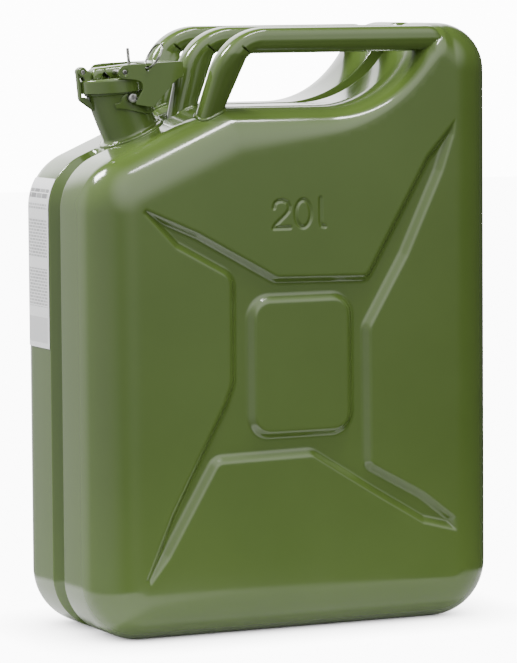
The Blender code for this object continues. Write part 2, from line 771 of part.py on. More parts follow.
def turned(profile, centre_u, segments):
    """A closed profile of (radius, w) spun round an upright axis in the closure frame."""
    bm = bmesh.new()
    verts = [bm.verts.new((centre_u + radius, 0.0, w)) for radius, w in profile]
    edges = [bm.edges.new((verts[index - 1], vert)) for index, vert in enumerate(verts)]
    bmesh.ops.spin(bm, geom=verts + edges, cent=(centre_u, 0.0, 0.0), axis=(0.0, 0.0, 1.0),
                   angle=math.tau, steps=segments, use_merge=True)
    bmesh.ops.remove_doubles(bm, verts=bm.verts, dist=CLEARANCE / 10)
    flat = [face for face in bm.faces if face.calc_area() < CLEARANCE * CLEARANCE / 1000]
    bmesh.ops.delete(bm, geom=flat, context="FACES")
    return bm


def arc(centre_u, centre_w, radius, first, last, steps):
    points = []
    for step in range(steps + 1):
        angle = first + (last - first) * step / steps
        points.append((centre_u + radius * math.cos(angle), centre_w + radius * math.sin(angle)))
    return points


def make_lid():
    """Pressed lid with its skirt and the two ears that hold the hinge pin."""
    inner = LID_RADIUS - LID_SHEET
    under = LID_TOP_W - LID_SHEET
    crown = LID_RADIUS - LID_CROWN_RADIUS
    hole = RIVET_RADIUS + CLEARANCE
    profile = [(inner, LID_SKIRT_W), (LID_RADIUS, LID_SKIRT_W), (LID_RADIUS, LID_TOP_W - LID_CROWN_RADIUS)]
    profile.append((crown, LID_TOP_W))
    profile.extend([(hole, LID_TOP_W), (hole, under), (inner, under)])
    lid = make_object("lid", turned(profile, LID_CENTRE_U, LID_SEGMENTS), "enamel")
    hem_left = LID_CENTRE_U - LID_RADIUS - CLEARANCE
    hem_right = hem_left + LID_HEM_RUN
    wedge = [(hem_left, LID_SKIRT_W - OVERRUN), (hem_right, LID_SKIRT_W - OVERRUN), (hem_right, LID_SKIRT_W)]
    wedge.append((hem_left, LID_SKIRT_W + LID_HEM_RISE))
    hem_tool = make_tool("hem_tool", plate(wedge, [], -LID_RADIUS - CLEARANCE, LID_RADIUS + CLEARANCE))
    boolean(lid, hem_tool, "DIFFERENCE")
    root_w = LID_TOP_W - LID_SHEET / 2
    top_w = LID_TOP_W + LID_EAR_TOP
    far_u = HINGE_U + LID_EAR_REACH
    outline = [(HINGE_U + LID_EAR_RADIUS / 3, root_w), (far_u, root_w), (far_u, top_w)]
    outline.extend(arc(HINGE_U, HINGE_W, LID_EAR_RADIUS, math.radians(20), math.radians(270), 12))
    bore = (HINGE_U, HINGE_W, HINGE_PIN_RADIUS + CLEARANCE)
    near = BRACKET_HALF + KNUCKLE_GAP
    tools = [hem_tool]
    for side in (-1.0, 1.0):
        low, high = sorted((side * near, side * (near + LID_EAR)))
        ear = make_tool("ear_tool", plate(outline, [bore], low, high))
        boolean(lid, ear, "UNION")
        tools.append(ear)
    return lid, tools


def make_seal_plate():
    """Dished disc under the lid that presses the gasket on the mouth."""
    foot = CLEARANCE - NECK_MOUTH_DROP + GASKET_THICKNESS + CLEARANCE
    rim = LID_RADIUS - LID_SHEET - CLEARANCE
    top = LID_TOP_W - LID_SHEET - CLEARANCE
    hole = RIVET_RADIUS + CLEARANCE
    profile = [
        (SEAL_DISH_FOOT_RADIUS, foot),
        (rim, foot),
        (rim, foot + LID_SHEET),
        (SEAL_DISH_FOOT_RADIUS, foot + LID_SHEET),
        (SEAL_DISH_RADIUS, top),
        (hole, top),
        (hole, top - LID_SHEET),
        (SEAL_DISH_RADIUS, top - LID_SHEET),
    ]
    return make_object("seal_plate", turned(profile, LID_CENTRE_U, LID_SEGMENTS), "zinc")


def make_gasket():
    foot = CLEARANCE - NECK_MOUTH_DROP
    rim = LID_RADIUS - LID_SHEET - CLEARANCE
    top = foot + GASKET_THICKNESS
    profile = [(GASKET_INNER_RADIUS, foot), (rim, foot), (rim, top), (GASKET_INNER_RADIUS, top)]
    return make_object("gasket", turned(profile, LID_CENTRE_U, LID_SEGMENTS), "rubber")


def make_rivet():
    """Rivet that holds the dished disc against the lid."""
    top = LID_TOP_W + CLEARANCE
    foot = LID_TOP_W - LID_SHEET - CLEARANCE - LID_SHEET - CLEARANCE
    profile = [
        (0.0, foot - RIVET_HEAD_HEIGHT),
        (RIVET_HEAD_RADIUS, foot - RIVET_HEAD_HEIGHT),
        (RIVET_HEAD_RADIUS, foot),
        (RIVET_RADIUS, foot),
        (RIVET_RADIUS, top),
        (RIVET_HEAD_RADIUS, top),
        (RIVET_HEAD_RADIUS * 0.7, top + RIVET_HEAD_HEIGHT),
        (0.0, top + RIVET_HEAD_HEIGHT),
    ]
    return make_object("lid_rivet", turned(profile, LID_CENTRE_U, PIN_SEGMENTS), "zinc")


def make_bracket(neck_tool):
    """Narrow strap from the neck up to the middle knuckle of the hinge."""
    inner_u = LID_CENTRE_U - LID_RADIUS - BRACKET_GAP
    outer_u = inner_u - BRACKET_SHEET
    first = -math.acos((inner_u - HINGE_U) / KNUCKLE_RADIUS)
    outline = [(BRACKET_FOOT_U, BRACKET_FOOT_W), (BRACKET_FOOT_U, BRACKET_FOOT_W + BRACKET_FOOT_HEIGHT)]
    outline.append((inner_u + BRACKET_KNEE_RUN, BRACKET_KNEE_W))
    outline.append((inner_u, BRACKET_KNEE_W))
    outline.extend(arc(HINGE_U, HINGE_W, KNUCKLE_RADIUS, first, math.pi, 14))
    outline.append((outer_u, BRACKET_KNEE_W - BRACKET_SHEET))
    bore = (HINGE_U, HINGE_W, HINGE_PIN_RADIUS + CLEARANCE)
    bracket = make_object("hinge_bracket", plate(outline, [bore], -BRACKET_HALF, BRACKET_HALF), "enamel")
    boolean(bracket, neck_tool, "DIFFERENCE")
    return bracket


def make_bridge():
    """Pressed channel on the lid, open below, with the lever's bearing holes."""
    foot = LID_TOP_W + CLEARANCE
    notch_left = BRIDGE_NOTCH_U - BRIDGE_NOTCH_HALF
    notch_right = BRIDGE_NOTCH_U + BRIDGE_NOTCH_HALF
    wall = [
        (BRIDGE_LEFT_U, foot),
        (notch_left, foot),
        (BRIDGE_NOTCH_U, foot + BRIDGE_NOTCH_RISE),
        (notch_right, foot),
        (BRIDGE_TOE_U, foot),
        (BRIDGE_RIGHT_U, BRIDGE_NOSE_W),
        (BRIDGE_RIGHT_U, BRIDGE_TOP_W),
    ]
    corner_u = BRIDGE_LEFT_U + BRIDGE_CORNER_RADIUS
    corner_w = BRIDGE_TOP_W - BRIDGE_CORNER_RADIUS
    wall.extend(arc(corner_u, corner_w, BRIDGE_CORNER_RADIUS, math.pi / 2, math.pi, 5))
    bearing = [(PIVOT_U, PIVOT_W, PIVOT_RADIUS + CLEARANCE)]
    inside = BRIDGE_HALF - BRIDGE_SHEET
    front = make_object("lid_bridge", plate(wall, bearing, -BRIDGE_HALF, -inside), "enamel")
    rear = make_tool("bridge_rear_tool", plate(wall, bearing, inside, BRIDGE_HALF))
    left = BRIDGE_TOP_LEFT_U
    right = BRIDGE_RIGHT_U - BRIDGE_LAP
    top = BRIDGE_TOP_W - BRIDGE_LAP
    bend = BRIDGE_TOP_W - BRIDGE_SHEET
    strip = [
        (left, bend - BRIDGE_SHEET - BRIDGE_LAP),
        (left + BRIDGE_SHEET, bend - BRIDGE_LAP),
        (right, bend - BRIDGE_LAP),
        (right, top),
        (corner_u, top),
        (left, bend - BRIDGE_LAP),
    ]
    reach = BRIDGE_HALF - BRIDGE_SHEET / 2
    strip_tool = make_tool("bridge_strip_tool", plate(strip, [], -reach, reach))
    radius = SAFETY_PIN_RADIUS + CLEARANCE
    low = bend - OVERRUN / 4
    high = top + OVERRUN
    drill = [(0.0, low), (radius, low), (radius, high), (0.0, high)]
    drill_tool = make_tool("bridge_drill_tool", turned(drill, SAFETY_PIN_U, PIN_SEGMENTS))
    boolean(front, strip_tool, "UNION")
    boolean(front, rear, "UNION")
    boolean(front, drill_tool, "DIFFERENCE")
    return front, [rear, strip_tool, drill_tool]


def lever_outline():
    """Side plate of the lever, with the hook's mouth open towards the neck."""
    reach = LUG_RADIUS + HOOK_GAP
    along = (math.sin(HOOK_ANGLE), math.cos(HOOK_ANGLE))
    touch = (LUG_U + reach * math.cos(HOOK_ANGLE), LUG_W - reach * math.sin(HOOK_ANGLE))
    rise = (LEVER_MOUTH_U - touch[0]) / along[0]
    ear = arc(PIVOT_U, PIVOT_W, LEVER_EAR_RADIUS, math.pi / 2, math.pi / 2 + LEVER_EAR_SWEEP, 8)
    return ear + [
        (LEVER_BROW_U, LEVER_BROW_W),
        (LEVER_MOUTH_U - (LEVER_MOUTH_U - LEVER_BROW_U) / 4, (LEVER_MOUTH_W + LEVER_BROW_W) / 2),
        (LEVER_MOUTH_U, LEVER_MOUTH_W),
        (LEVER_MOUTH_U, touch[1] + along[1] * rise),
        (touch[0] - along[0] * HOOK_REACH, touch[1] - along[1] * HOOK_REACH),
        (LEVER_JAW_U, LEVER_JAW_W),
        (LEVER_TIP_U, LEVER_TIP_W),
        (LEVER_STEP_U, LEVER_STEP_W),
        (LEVER_END_U, LEVER_END_FOOT_W),
        (LEVER_END_U, LEVER_END_W),
        (LEVER_SHOULDER_U, LEVER_SHOULDER_W),
    ]


def make_lever():
    """Channel-shaped lever: two hooked plates joined by a web and an end wall."""
    holes = [(PIVOT_U, PIVOT_W, PIVOT_RADIUS + CLEARANCE), (RING_U, RING_W, RING_HOLE)]
    outer = LEVER_PLATE_Y + LEVER_PLATE
    lever = make_object("lever", plate(lever_outline(), holes, -outer, -LEVER_PLATE_Y), "enamel")
    rear = make_tool("lever_rear_tool", plate(lever_outline(), holes, LEVER_PLATE_Y, outer))
    fall = (LEVER_SHOULDER_W - LEVER_END_W) / (LEVER_END_U - LEVER_SHOULDER_U)
    near_top = LEVER_SHOULDER_W - fall * (LEVER_WEB_U - LEVER_SHOULDER_U) - BRIDGE_LAP
    far_top = LEVER_END_W - BRIDGE_LAP
    end = LEVER_END_U - BRIDGE_LAP
    strip = [
        (LEVER_WEB_U, near_top - LEVER_WEB),
        (end - LEVER_WEB, far_top - LEVER_WEB),
        (end - LEVER_WEB, LEVER_END_FOOT_W + LEVER_WEB),
        (end, LEVER_END_FOOT_W + LEVER_WEB),
        (end, far_top),
        (LEVER_WEB_U, near_top),
    ]
    reach = LEVER_PLATE_Y + LEVER_PLATE / 2
    web = make_tool("lever_web_tool", plate(strip, [], -reach, reach))
    boolean(lever, web, "UNION")
    boolean(lever, rear, "UNION")
    return lever, [rear, web]


def make_strap():
    """Strap that wraps the neck, with an ear under each lug."""
    lug_angle = math.pi / 2
    layers = []
    bm = bmesh.new()
    inner = NECK_RADIUS + CLEARANCE
    lug_rise = NECK_LENGTH + LUG_W
    for step in range(STRAP_STEPS + 1):
        angle = STRAP_HALF_ANGLE * (2.0 * step / STRAP_STEPS - 1.0)
        spread = abs(angle) / STRAP_HALF_ANGLE
        near = max(0.0, 1.0 - abs(abs(angle) - lug_angle) / STRAP_EAR_ANGLE)
        top = NECK_LENGTH - STRAP_TOP + (lug_rise + LUG_RADIUS - NECK_LENGTH + STRAP_TOP) * math.sqrt(near)
        foot_share = smoothstep((1.0 - spread) / STRAP_TAPER_SHARE)
        foot = NECK_LENGTH - STRAP_TIP_FOOT - (STRAP_FOOT - STRAP_TIP_FOOT) * foot_share
        layer = []
        outer = inner + STRAP_SHEET
        for rise, radius in ((foot, inner), (foot, outer), (top, outer), (top, inner)):
            layer.append(bm.verts.new(neck_point(rise, angle, radius)))
        layers.append(layer)
    for lower, upper in zip(layers, layers[1:]):
        bridge(bm, lower, upper)
    bm.faces.new(layers[0])
    bm.faces.new(layers[-1])
    return make_object("locking_strap", bm, "enamel")


def make_lug(name, side):
    """Round stud on the strap that the lever's hook holds."""
    seat = NECK_RADIUS + CLEARANCE + STRAP_SHEET + CLEARANCE
    end = LEVER_PLATE_Y + LEVER_PLATE + LUG_PROUD
    low, high = sorted((side * seat, side * end))
    return make_object(name, cylinder_y(LUG_U, LUG_W, LUG_RADIUS, low, high, LID_SEGMENTS // 2), "zinc")


def make_ring():
    """Split ring through the near plate of the lever, leaning towards the handles."""
    bm = bmesh.new()
    lean = Vector((math.cos(RING_LEAN), 0.0, math.sin(RING_LEAN)))
    across = Vector((0.0, 1.0, 0.0))
    normal = lean.cross(across)
    centre = Vector((RING_U, -LEVER_PLATE_Y - LEVER_PLATE / 2, RING_W)) + lean * RING_RADIUS
    layers = []
    for step in range(RING_SEGMENTS):
        angle = math.tau * step / RING_SEGMENTS
        out = lean * math.cos(angle) + across * math.sin(angle)
        layer = []
        for side in range(RING_SIDES):
            turn = math.tau * side / RING_SIDES
            offset = out * math.cos(turn) + normal * math.sin(turn)
            layer.append(bm.verts.new(centre + out * RING_RADIUS + offset * RING_WIRE))
        layers.append(layer)
    for index, layer in enumerate(layers):
        bridge(bm, layers[index - 1], layer)
    return make_object("split_ring", bm, "zinc")


def make_safety_pin():
    foot = LID_TOP_W + CLEARANCE
    tip = SAFETY_PIN_TOP_W - SAFETY_PIN_RADIUS / 2
    profile = [
        (0.0, foot),
        (SAFETY_PIN_RADIUS, foot),
        (SAFETY_PIN_RADIUS, tip),
        (SAFETY_PIN_RADIUS / 2, SAFETY_PIN_TOP_W),
        (0.0, SAFETY_PIN_TOP_W),
    ]
    return make_object("safety_pin", turned(profile, SAFETY_PIN_U, PIN_SEGMENTS), "zinc")


def make_label():
    """Sticker on the narrow side, from behind the seam round onto the rear rounding."""
    section = []
    for reach in (CLEARANCE, CLEARANCE + LABEL_THICKNESS):
        line = [(-HALF_WIDTH - reach, SIDE_FLAT - LABEL_WIDTH)]
        for step in range(LABEL_WRAP_STEPS + 1):
            angle = LABEL_WRAP * step / LABEL_WRAP_STEPS
            radius = FACE_RADIUS + reach
            x = FACE_RADIUS - HALF_WIDTH - radius * math.cos(angle)
            line.append((x, SIDE_FLAT + radius * math.sin(angle)))
        section.append(line)
    outline = section[0] + section[1][::-1]
    bm = bmesh.new()
    layers = []
    for z in (LABEL_FOOT, LABEL_FOOT + LABEL_HEIGHT):
        layers.append([bm.verts.new((x, y, z)) for x, y in outline])
    bridge(bm, layers[0], layers[1])
    bm.faces.new(layers[0])
    bm.faces.new(layers[1])
    return make_object("label", bm, "paper")


def make_bore_tool():
    """Round cutter for the hole in the shoulder."""
    foot, up = neck_axis()
    centre = Vector((foot.x, 0.0, foot.y))
    bm = bmesh.new()
    rotation = Matrix.Rotation(math.atan2(up.x, up.y), 4, "Y")
    radius = NECK_SPIGOT_RADIUS + CLEARANCE
    bmesh.ops.create_cone(bm, cap_ends=True, segments=NECK_SEGMENTS, radius1=radius, radius2=radius,
                          depth=OVERRUN * 2, matrix=Matrix.Translation(centre) @ rotation)
    return make_tool("bore_tool", bm)


def build_body():
    bore = make_bore_tool()
    for name, side in (("front_shell", -1.0), ("rear_shell", 1.0)):
        shell = make_shell(name, side)
        boolean(shell, bore, "DIFFERENCE")
    make_object("weld_seam", make_seam("weld_seam", 0.0), "enamel")
    envelope = make_envelope("envelope_tool", CLEARANCE)
    seam_tool = make_tool("seam_tool", make_seam("seam_tool", CLEARANCE))
    make_handle("handle_front", -HANDLE_SPACING, envelope, None)
    make_handle("handle_middle", 0.0, envelope, seam_tool)
    make_handle("handle_rear", HANDLE_SPACING, envelope, None)
    make_label()


def build_closure():
    """Neck fittings, lid, lever, ring and pin, each on the empty of its axis."""
    foot, up = neck_axis()
    mouth = foot + up * NECK_LENGTH
    frame = make_empty("closure_frame", None, (mouth.x, 0.0, mouth.y), -CLOSURE_TILT)
    bpy.context.view_layer.update()
    make_neck()
    make_breather()
    make_strap()
    skin_radius = NECK_RADIUS + CLEARANCE
    rises = (0.0, NECK_LENGTH / 2, NECK_LENGTH - OVERRUN / 4, NECK_LENGTH)
    neck_tool = make_tool("neck_tool", solid_neck(rises, skin_radius))
    lid_axis = make_empty("lid_axis", frame, (HINGE_U, 0.0, HINGE_W))
    lever_axis = make_empty("lever_axis", frame, (PIVOT_U, 0.0, PIVOT_W))
    pin_axis = make_empty("pin_axis", frame, (SAFETY_PIN_U, 0.0, LID_TOP_W))
    ring_axis = make_empty("ring_axis", frame, (RING_U, -LEVER_PLATE_Y - LEVER_PLATE / 2, RING_W))
    fixed = make_empty("fixed_axis", frame, (0.0, 0.0, 0.0))
    for obj in (make_bracket(neck_tool), make_lug("lock_lug_front", -1.0), make_lug("lock_lug_rear", 1.0)):
        hang(obj, fixed)
    half = BRACKET_HALF + KNUCKLE_GAP + LID_EAR + PIN_PROUD
    hinge_pin = make_object("hinge_pin", cylinder_y(HINGE_U, HINGE_W, HINGE_PIN_RADIUS, -half, half), "zinc")
    hang(hinge_pin, fixed)
    lid, lid_tools = make_lid()
    bridge_obj, bridge_tools = make_bridge()
    end = LEVER_PLATE_Y + LEVER_PLATE + PIVOT_PROUD
    pivot = make_object("lever_pivot_pin", cylinder_y(PIVOT_U, PIVOT_W, PIVOT_RADIUS, -end, end), "zinc")
    lid_pieces = [lid, make_seal_plate(), make_gasket(), make_rivet(), bridge_obj, pivot]
    for obj in lid_pieces + lid_tools + bridge_tools:
        hang(obj, lid_axis)
    lever, lever_tools = make_lever()
    for obj in [lever] + lever_tools:
        hang(obj, lever_axis)
    hang(make_safety_pin(), pin_axis)
    hang(make_ring(), ring_axis)


def solid_neck(rises, radius):
    """The neck's outer shape as one solid, with closed ends."""
    bm = bmesh.new()
    layers = []
    for rise in rises:
        layer = []
        for step in range(NECK_SEGMENTS):
            layer.append(bm.verts.new(neck_point(rise, math.tau * step / NECK_SEGMENTS, radius)))
        layers.append(layer)
    for lower, upper in zip(layers, layers[1:]):
        bridge(bm, lower, upper)
    bm.faces.new(layers[0])
    bm.faces.new(layers[-1])
    return bm


clear_scene()
build_body()
build_closure()
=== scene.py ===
"""Dressed scene of the steel jerry can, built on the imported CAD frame. Metres, +Z up."""

import json
import math

import bmesh
import bpy
import numpy as np
from mathutils import Matrix, Vector
from mathutils.bvhtree import BVHTree
from mathutils.geometry import delaunay_2d_cdt


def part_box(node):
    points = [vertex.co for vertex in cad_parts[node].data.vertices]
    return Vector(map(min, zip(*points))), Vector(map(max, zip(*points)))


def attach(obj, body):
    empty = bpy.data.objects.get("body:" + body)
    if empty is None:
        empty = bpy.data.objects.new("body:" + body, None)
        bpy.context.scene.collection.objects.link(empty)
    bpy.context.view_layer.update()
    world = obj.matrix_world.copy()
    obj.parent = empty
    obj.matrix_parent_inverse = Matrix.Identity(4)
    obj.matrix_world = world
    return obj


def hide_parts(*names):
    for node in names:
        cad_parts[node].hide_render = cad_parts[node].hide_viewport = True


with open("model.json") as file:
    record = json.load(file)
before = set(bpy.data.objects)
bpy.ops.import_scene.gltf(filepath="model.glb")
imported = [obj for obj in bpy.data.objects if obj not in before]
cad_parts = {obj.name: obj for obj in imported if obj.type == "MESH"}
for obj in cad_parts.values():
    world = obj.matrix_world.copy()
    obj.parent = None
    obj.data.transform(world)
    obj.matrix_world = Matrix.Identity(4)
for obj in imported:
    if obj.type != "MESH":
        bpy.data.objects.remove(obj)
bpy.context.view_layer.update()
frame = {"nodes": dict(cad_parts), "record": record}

# Body sizes: the outer ones from the frame, the others as in the part's source
shell_low, shell_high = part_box("front_shell")
BODY_WIDTH = shell_high[0] - shell_low[0]
BODY_DEPTH = -2 * shell_low[1]
BODY_HEIGHT = shell_high[2]
HALF_WIDTH = BODY_WIDTH / 2
HALF_DEPTH = BODY_DEPTH / 2
CLEARANCE = 0.0003
BASE_CORNER_RADIUS = 0.045
HUMP_CORNER_RADIUS = 0.037
HUMP_EDGE_RADIUS = 0.020
HUMP_EDGE_RUN = 0.0524
HUMP_ANGLE = math.radians(62.0)
RECESS_DEPTH = 0.062
RECESS_RADIUS = 0.095
RECESS_BEND_RADIUS = 0.040
SHOULDER_RUN = 0.1145
SHOULDER_ANGLE = math.radians(23.5)
SHOULDER_CORNER_RADIUS = 0.045
FACE_RADIUS = 0.0358
FACE_EDGE_RADIUS = 0.004
FACE_RECESS_RADIUS = 0.140
HUMP_EDGE_CORNER = 2
RECESS_CORNER = 3
HUMP_EDGE_FACE_SHIFT = Vector((0.0019, -0.025))
RECESS_FACE_SHIFT = Vector((-0.0131, -0.016))
SIDE_FLAT = HALF_DEPTH - FACE_RADIUS
GROOVE_DEPTH = 0.007
GROOVE_FLOOR = 0.0045
GROOVE_LIP = 0.0112
GROOVE_FLOOR_RADIUS = 0.0020
GROOVE_LIP_RADIUS = 0.0026

# Pressings of the wide faces: corners as shares of width and height, with rounding
CROSS_DEPTH = 0.005
CROSS_SLOPE = 0.0072
CROSS_EDGE_SHARE = 0.28
CROSS_RIM_SHARES = (
    (-0.389, 0.702, 0.000), (-0.380, 0.710, 0.000), (-0.250, 0.669, 0.000), (-0.060, 0.593, 0.020),
    (0.160, 0.590, 0.012), (0.313, 0.782, 0.000), (0.380, 0.835, 0.000), (0.390, 0.845, 0.000),
    (0.386, 0.815, 0.000), (0.357, 0.754, 0.000), (0.267, 0.616, 0.000), (0.172, 0.500, 0.025),
    (0.174, 0.275, 0.015), (0.307, 0.222, 0.000), (0.388, 0.176, 0.000), (0.390, 0.150, 0.000),
    (0.301, 0.167, 0.000), (0.174, 0.222, 0.000), (0.022, 0.291, 0.025), (-0.207, 0.288, 0.020),
    (-0.328, 0.140, 0.000), (-0.377, 0.096, 0.000), (-0.389, 0.106, 0.000), (-0.325, 0.214, 0.000),
    (-0.197, 0.388, 0.000), (-0.180, 0.420, 0.030), (-0.179, 0.590, 0.030), (-0.310, 0.642, 0.000),
)
PANEL_RIM_SHARES = (
    (-0.114, 0.338, 0.035), (0.112, 0.338, 0.035), (0.112, 0.548, 0.035), (-0.114, 0.548, 0.035),
)

# Neck and handles
NECK_RUN = 0.054
NECK_LENGTH = 0.037
NECK_RADIUS = 0.0222
NECK_STRAIGHT = 0.008
NECK_FLANGE_RADIUS = 0.0255
NECK_PAD_MARGIN = 0.0010
NECK_PAD_BLEND = 0.009
NECK_HOLE_RADIUS = 0.0222
CLOSURE_TILT = math.radians(5.5)
HANDLE_SPACING = 0.065
HANDLE_WIDTH = 0.022
HANDLE_HEIGHT = 0.020
HANDLE_DROP = 0.0015
HANDLE_LEAN = 0.011
HANDLE_BEND_RADIUS = 0.045
HANDLE_BEND_ANGLE = math.radians(78.0)
HANDLE_BEND_RUN = 0.1485
HANDLE_INNER_RUN = 0.1350
HANDLE_INNER_RADIUS = 0.005
HANDLE_INNER_ANGLE = math.radians(69.7)
HANDLE_END_RUN = 0.0415
HANDLE_END_SLANT = 0.012
RECESS_DEPTH_UNDER = RECESS_DEPTH - HANDLE_DROP - HANDLE_HEIGHT
HANDLE_LEG = BODY_HEIGHT * 0.16
HANDLES = (("front", -HANDLE_SPACING), ("middle", 0.0), ("rear", HANDLE_SPACING))
CREASE_HALF = 0.030
CREASE_STEPS = (-0.030, -0.020, -0.010, -0.004, 0.0, 0.004, 0.010, 0.020, 0.030)
CREASE_DEPTH = 0.0032
CREASE_REACH_SHARE = 0.62
CREASE_FADE = 6.0
CREASE_LIFT_SHARE = 0.8
CREASE_LIFT_FADE = 5.0
SIDE_POWER_UP = 3.0
SIDE_POWER_DOWN = 2.5
RIDGE_HEIGHT = 0.0005
RIDGE_HALF = 0.0011
# Rings that close a bar's end: (share of the section, how far it stands out)
HANDLE_CAP = ((0.97, 0.0005), (0.90, 0.0009), (0.75, 0.0012), (0.40, 0.0014))

# Mesh fineness
ARC_STEPS = 18
RECESS_STEPS = 30
EDGE_STEPS = 26
SHOULDER_STEPS = 44
HUMP_STEPS = 3
HUMP_EDGE_STEPS = 2
ROUNDING_STEPS = 16
GROOVE_STEPS = 8
FILLET_STEPS = 6
PRESSED_CORNER_STEPS = 10
LEG_STEPS = 24
BEND_STEPS = 30
BAR_STEPS = 30
SECTION_STEPS = 84
COARSE_STEP = 0.0042
FINE_STEP = 0.0011
FINE_BAND = 0.0105
FINE_OUTSIDE = 0.25 * FINE_BAND
RING_MARGIN = COARSE_STEP * 0.4
MERGE_DISTANCE = 1e-7

# Camera, fitted to the photo
IMAGE_WIDTH = 517
IMAGE_HEIGHT = 663
CAMERA_TURN = 0.4360673
CAMERA_TILT = 0.0865027
CAMERA_ROLL = 0.0075512
CAMERA_DISTANCE = 3.19266
FOCAL_PX = 4029.92
CENTRE_PX = (257.760, 322.975)
SENSOR = 36.0


def smoothstep(value):
    value = np.clip(value, 0.0, 1.0)
    return value * value * (3.0 - 2.0 * value)


def directions(points, index):
    """Unit vectors along the edges before and after a corner."""
    point = points[index]
    after = points[(index + 1) % len(points)]
    return (point - points[index - 1]).normalized(), (after - point).normalized()


def rounding(first, corner, last, steps):
    """Points of a curve from first to last that bends towards the corner."""
    shares = [step / steps for step in range(steps + 1)]
    return [first.lerp(corner, share).lerp(corner.lerp(last, share), share) for share in shares]


def rounded_loop(corners):
    """Points and outward normals round a counter-clockwise outline.

    Each corner is (point, radius, arc steps, points along the edge after it).
    """
    points = [corner[0] for corner in corners]
    spans = []
    for index, (point, radius, steps, _) in enumerate(corners):
        arriving, leaving = directions(points, index)
        turn = -arriving.angle_signed(leaving)
        start = point - arriving * radius * abs(math.tan(turn / 2))
        side = math.copysign(1.0, turn)
        outward = Vector((arriving.y, -arriving.x))
        centre = start - outward * side * radius
        span = []
        for step in range(steps + 1):
            normal = outward.copy()
            normal.rotate(Matrix.Rotation(turn * step / steps, 2))
            span.append((centre + normal * side * radius, normal))
        spans.append(span)
    loop = []
    for index, span in enumerate(spans):
        loop.extend(span)
        first, normal = span[-1]
        last = spans[(index + 1) % len(spans)][0][0]
        extra = corners[index][3]
        for step in range(1, extra + 1):
            loop.append((first.lerp(last, step / (extra + 1)), normal))
    return loop


def side_corners():
    """Corners of the body's outline in X and Z, counter-clockwise from the base below the hump."""
    recess_z = BODY_HEIGHT - RECESS_DEPTH
    edge_x = HALF_WIDTH - HUMP_EDGE_RUN
    recess_x = edge_x - RECESS_DEPTH / math.tan(HUMP_ANGLE)
    bend_x = SHOULDER_RUN - HALF_WIDTH
    shoulder_z = recess_z - SHOULDER_RUN * math.tan(SHOULDER_ANGLE)
    return [
        (Vector((HALF_WIDTH, 0.0)), BASE_CORNER_RADIUS, ARC_STEPS, EDGE_STEPS),
        (Vector((HALF_WIDTH, BODY_HEIGHT)), HUMP_CORNER_RADIUS, ARC_STEPS, HUMP_STEPS),
        (Vector((edge_x, BODY_HEIGHT)), HUMP_EDGE_RADIUS, ARC_STEPS, HUMP_EDGE_STEPS),
        (Vector((recess_x, recess_z)), RECESS_RADIUS, RECESS_STEPS, EDGE_STEPS // 2),
        (Vector((bend_x, recess_z)), RECESS_BEND_RADIUS, ARC_STEPS, SHOULDER_STEPS),
        (Vector((-HALF_WIDTH, shoulder_z)), SHOULDER_CORNER_RADIUS, ARC_STEPS, EDGE_STEPS),
        (Vector((-HALF_WIDTH, 0.0)), BASE_CORNER_RADIUS, ARC_STEPS, EDGE_STEPS),
    ]


def face_corners():
    """Corners of the flat wide face, matched one to one with the outline's."""
    corners = side_corners()
    points = [corner[0] for corner in corners]
    flat = []
    for index, (point, radius, steps, extra) in enumerate(corners):
        arriving, leaving = directions(points, index)
        normals = Vector((arriving.y, -arriving.x)) + Vector((leaving.y, -leaving.x))
        inner = point - normals * (FACE_RADIUS / (1.0 + arriving.dot(leaving)))
        flat.append([inner, max(radius - FACE_RADIUS, FACE_EDGE_RADIUS), steps, extra])
    flat[HUMP_EDGE_CORNER][0] = points[HUMP_EDGE_CORNER] + HUMP_EDGE_FACE_SHIFT
    flat[RECESS_CORNER][0] = points[RECESS_CORNER] + RECESS_FACE_SHIFT
    flat[RECESS_CORNER][1] = FACE_RECESS_RADIUS
    return [tuple(corner) for corner in flat]


def neck_axis():
    """Foot of the neck on the shoulder and the direction square to it."""
    bend = Vector((SHOULDER_RUN - HALF_WIDTH, BODY_HEIGHT - RECESS_DEPTH))
    along = Vector((-math.cos(SHOULDER_ANGLE), -math.sin(SHOULDER_ANGLE)))
    return bend + along * NECK_RUN, Vector((along.y, -along.x))


def filleted(points, radii, steps):
    """An open polyline whose inner corners are rounded, each by its own radius."""
    points = [Vector(point) for point in points]
    result = [points[0]]
    for index in range(1, len(points) - 1):
        point = points[index]
        arriving, leaving = directions(points, index)
        reach = radii[index - 1] * math.tan(arriving.angle(leaving) / 2)
        result.extend(rounding(point - arriving * reach, point, point + leaving * reach, steps))
    result.append(points[-1])
    return result


def shell_stations():
    """(distance from the middle, inset from the outline) from the seam to the flank's end."""
    points = ((CLEARANCE / 2, GROOVE_DEPTH), (GROOVE_FLOOR, GROOVE_DEPTH),
              (GROOVE_LIP, 0.0), (SIDE_FLAT, 0.0))
    return filleted(points, (GROOVE_FLOOR_RADIUS, GROOVE_LIP_RADIUS), GROOVE_STEPS)


def loop_array(table):
    """Points round a pressing's outline, from its table of shares."""
    corners = []
    for share_x, share_z, share_r in table:
        point = Vector((share_x * BODY_WIDTH, share_z * BODY_HEIGHT))
        steps = PRESSED_CORNER_STEPS if share_r else 1
        corners.append((point, share_r * BODY_WIDTH, steps, 0))
    return np.array([tuple(point) for point, _ in rounded_loop(corners)])


def edge_distance(points, first, last):
    """Distance of each point from the straight edge between two points."""
    edge = last - first
    share = np.clip(((points - first) @ edge) / (edge @ edge), 0.0, 1.0)
    offset = points - first - share[:, None] * edge
    return np.hypot(offset[:, 0], offset[:, 1])


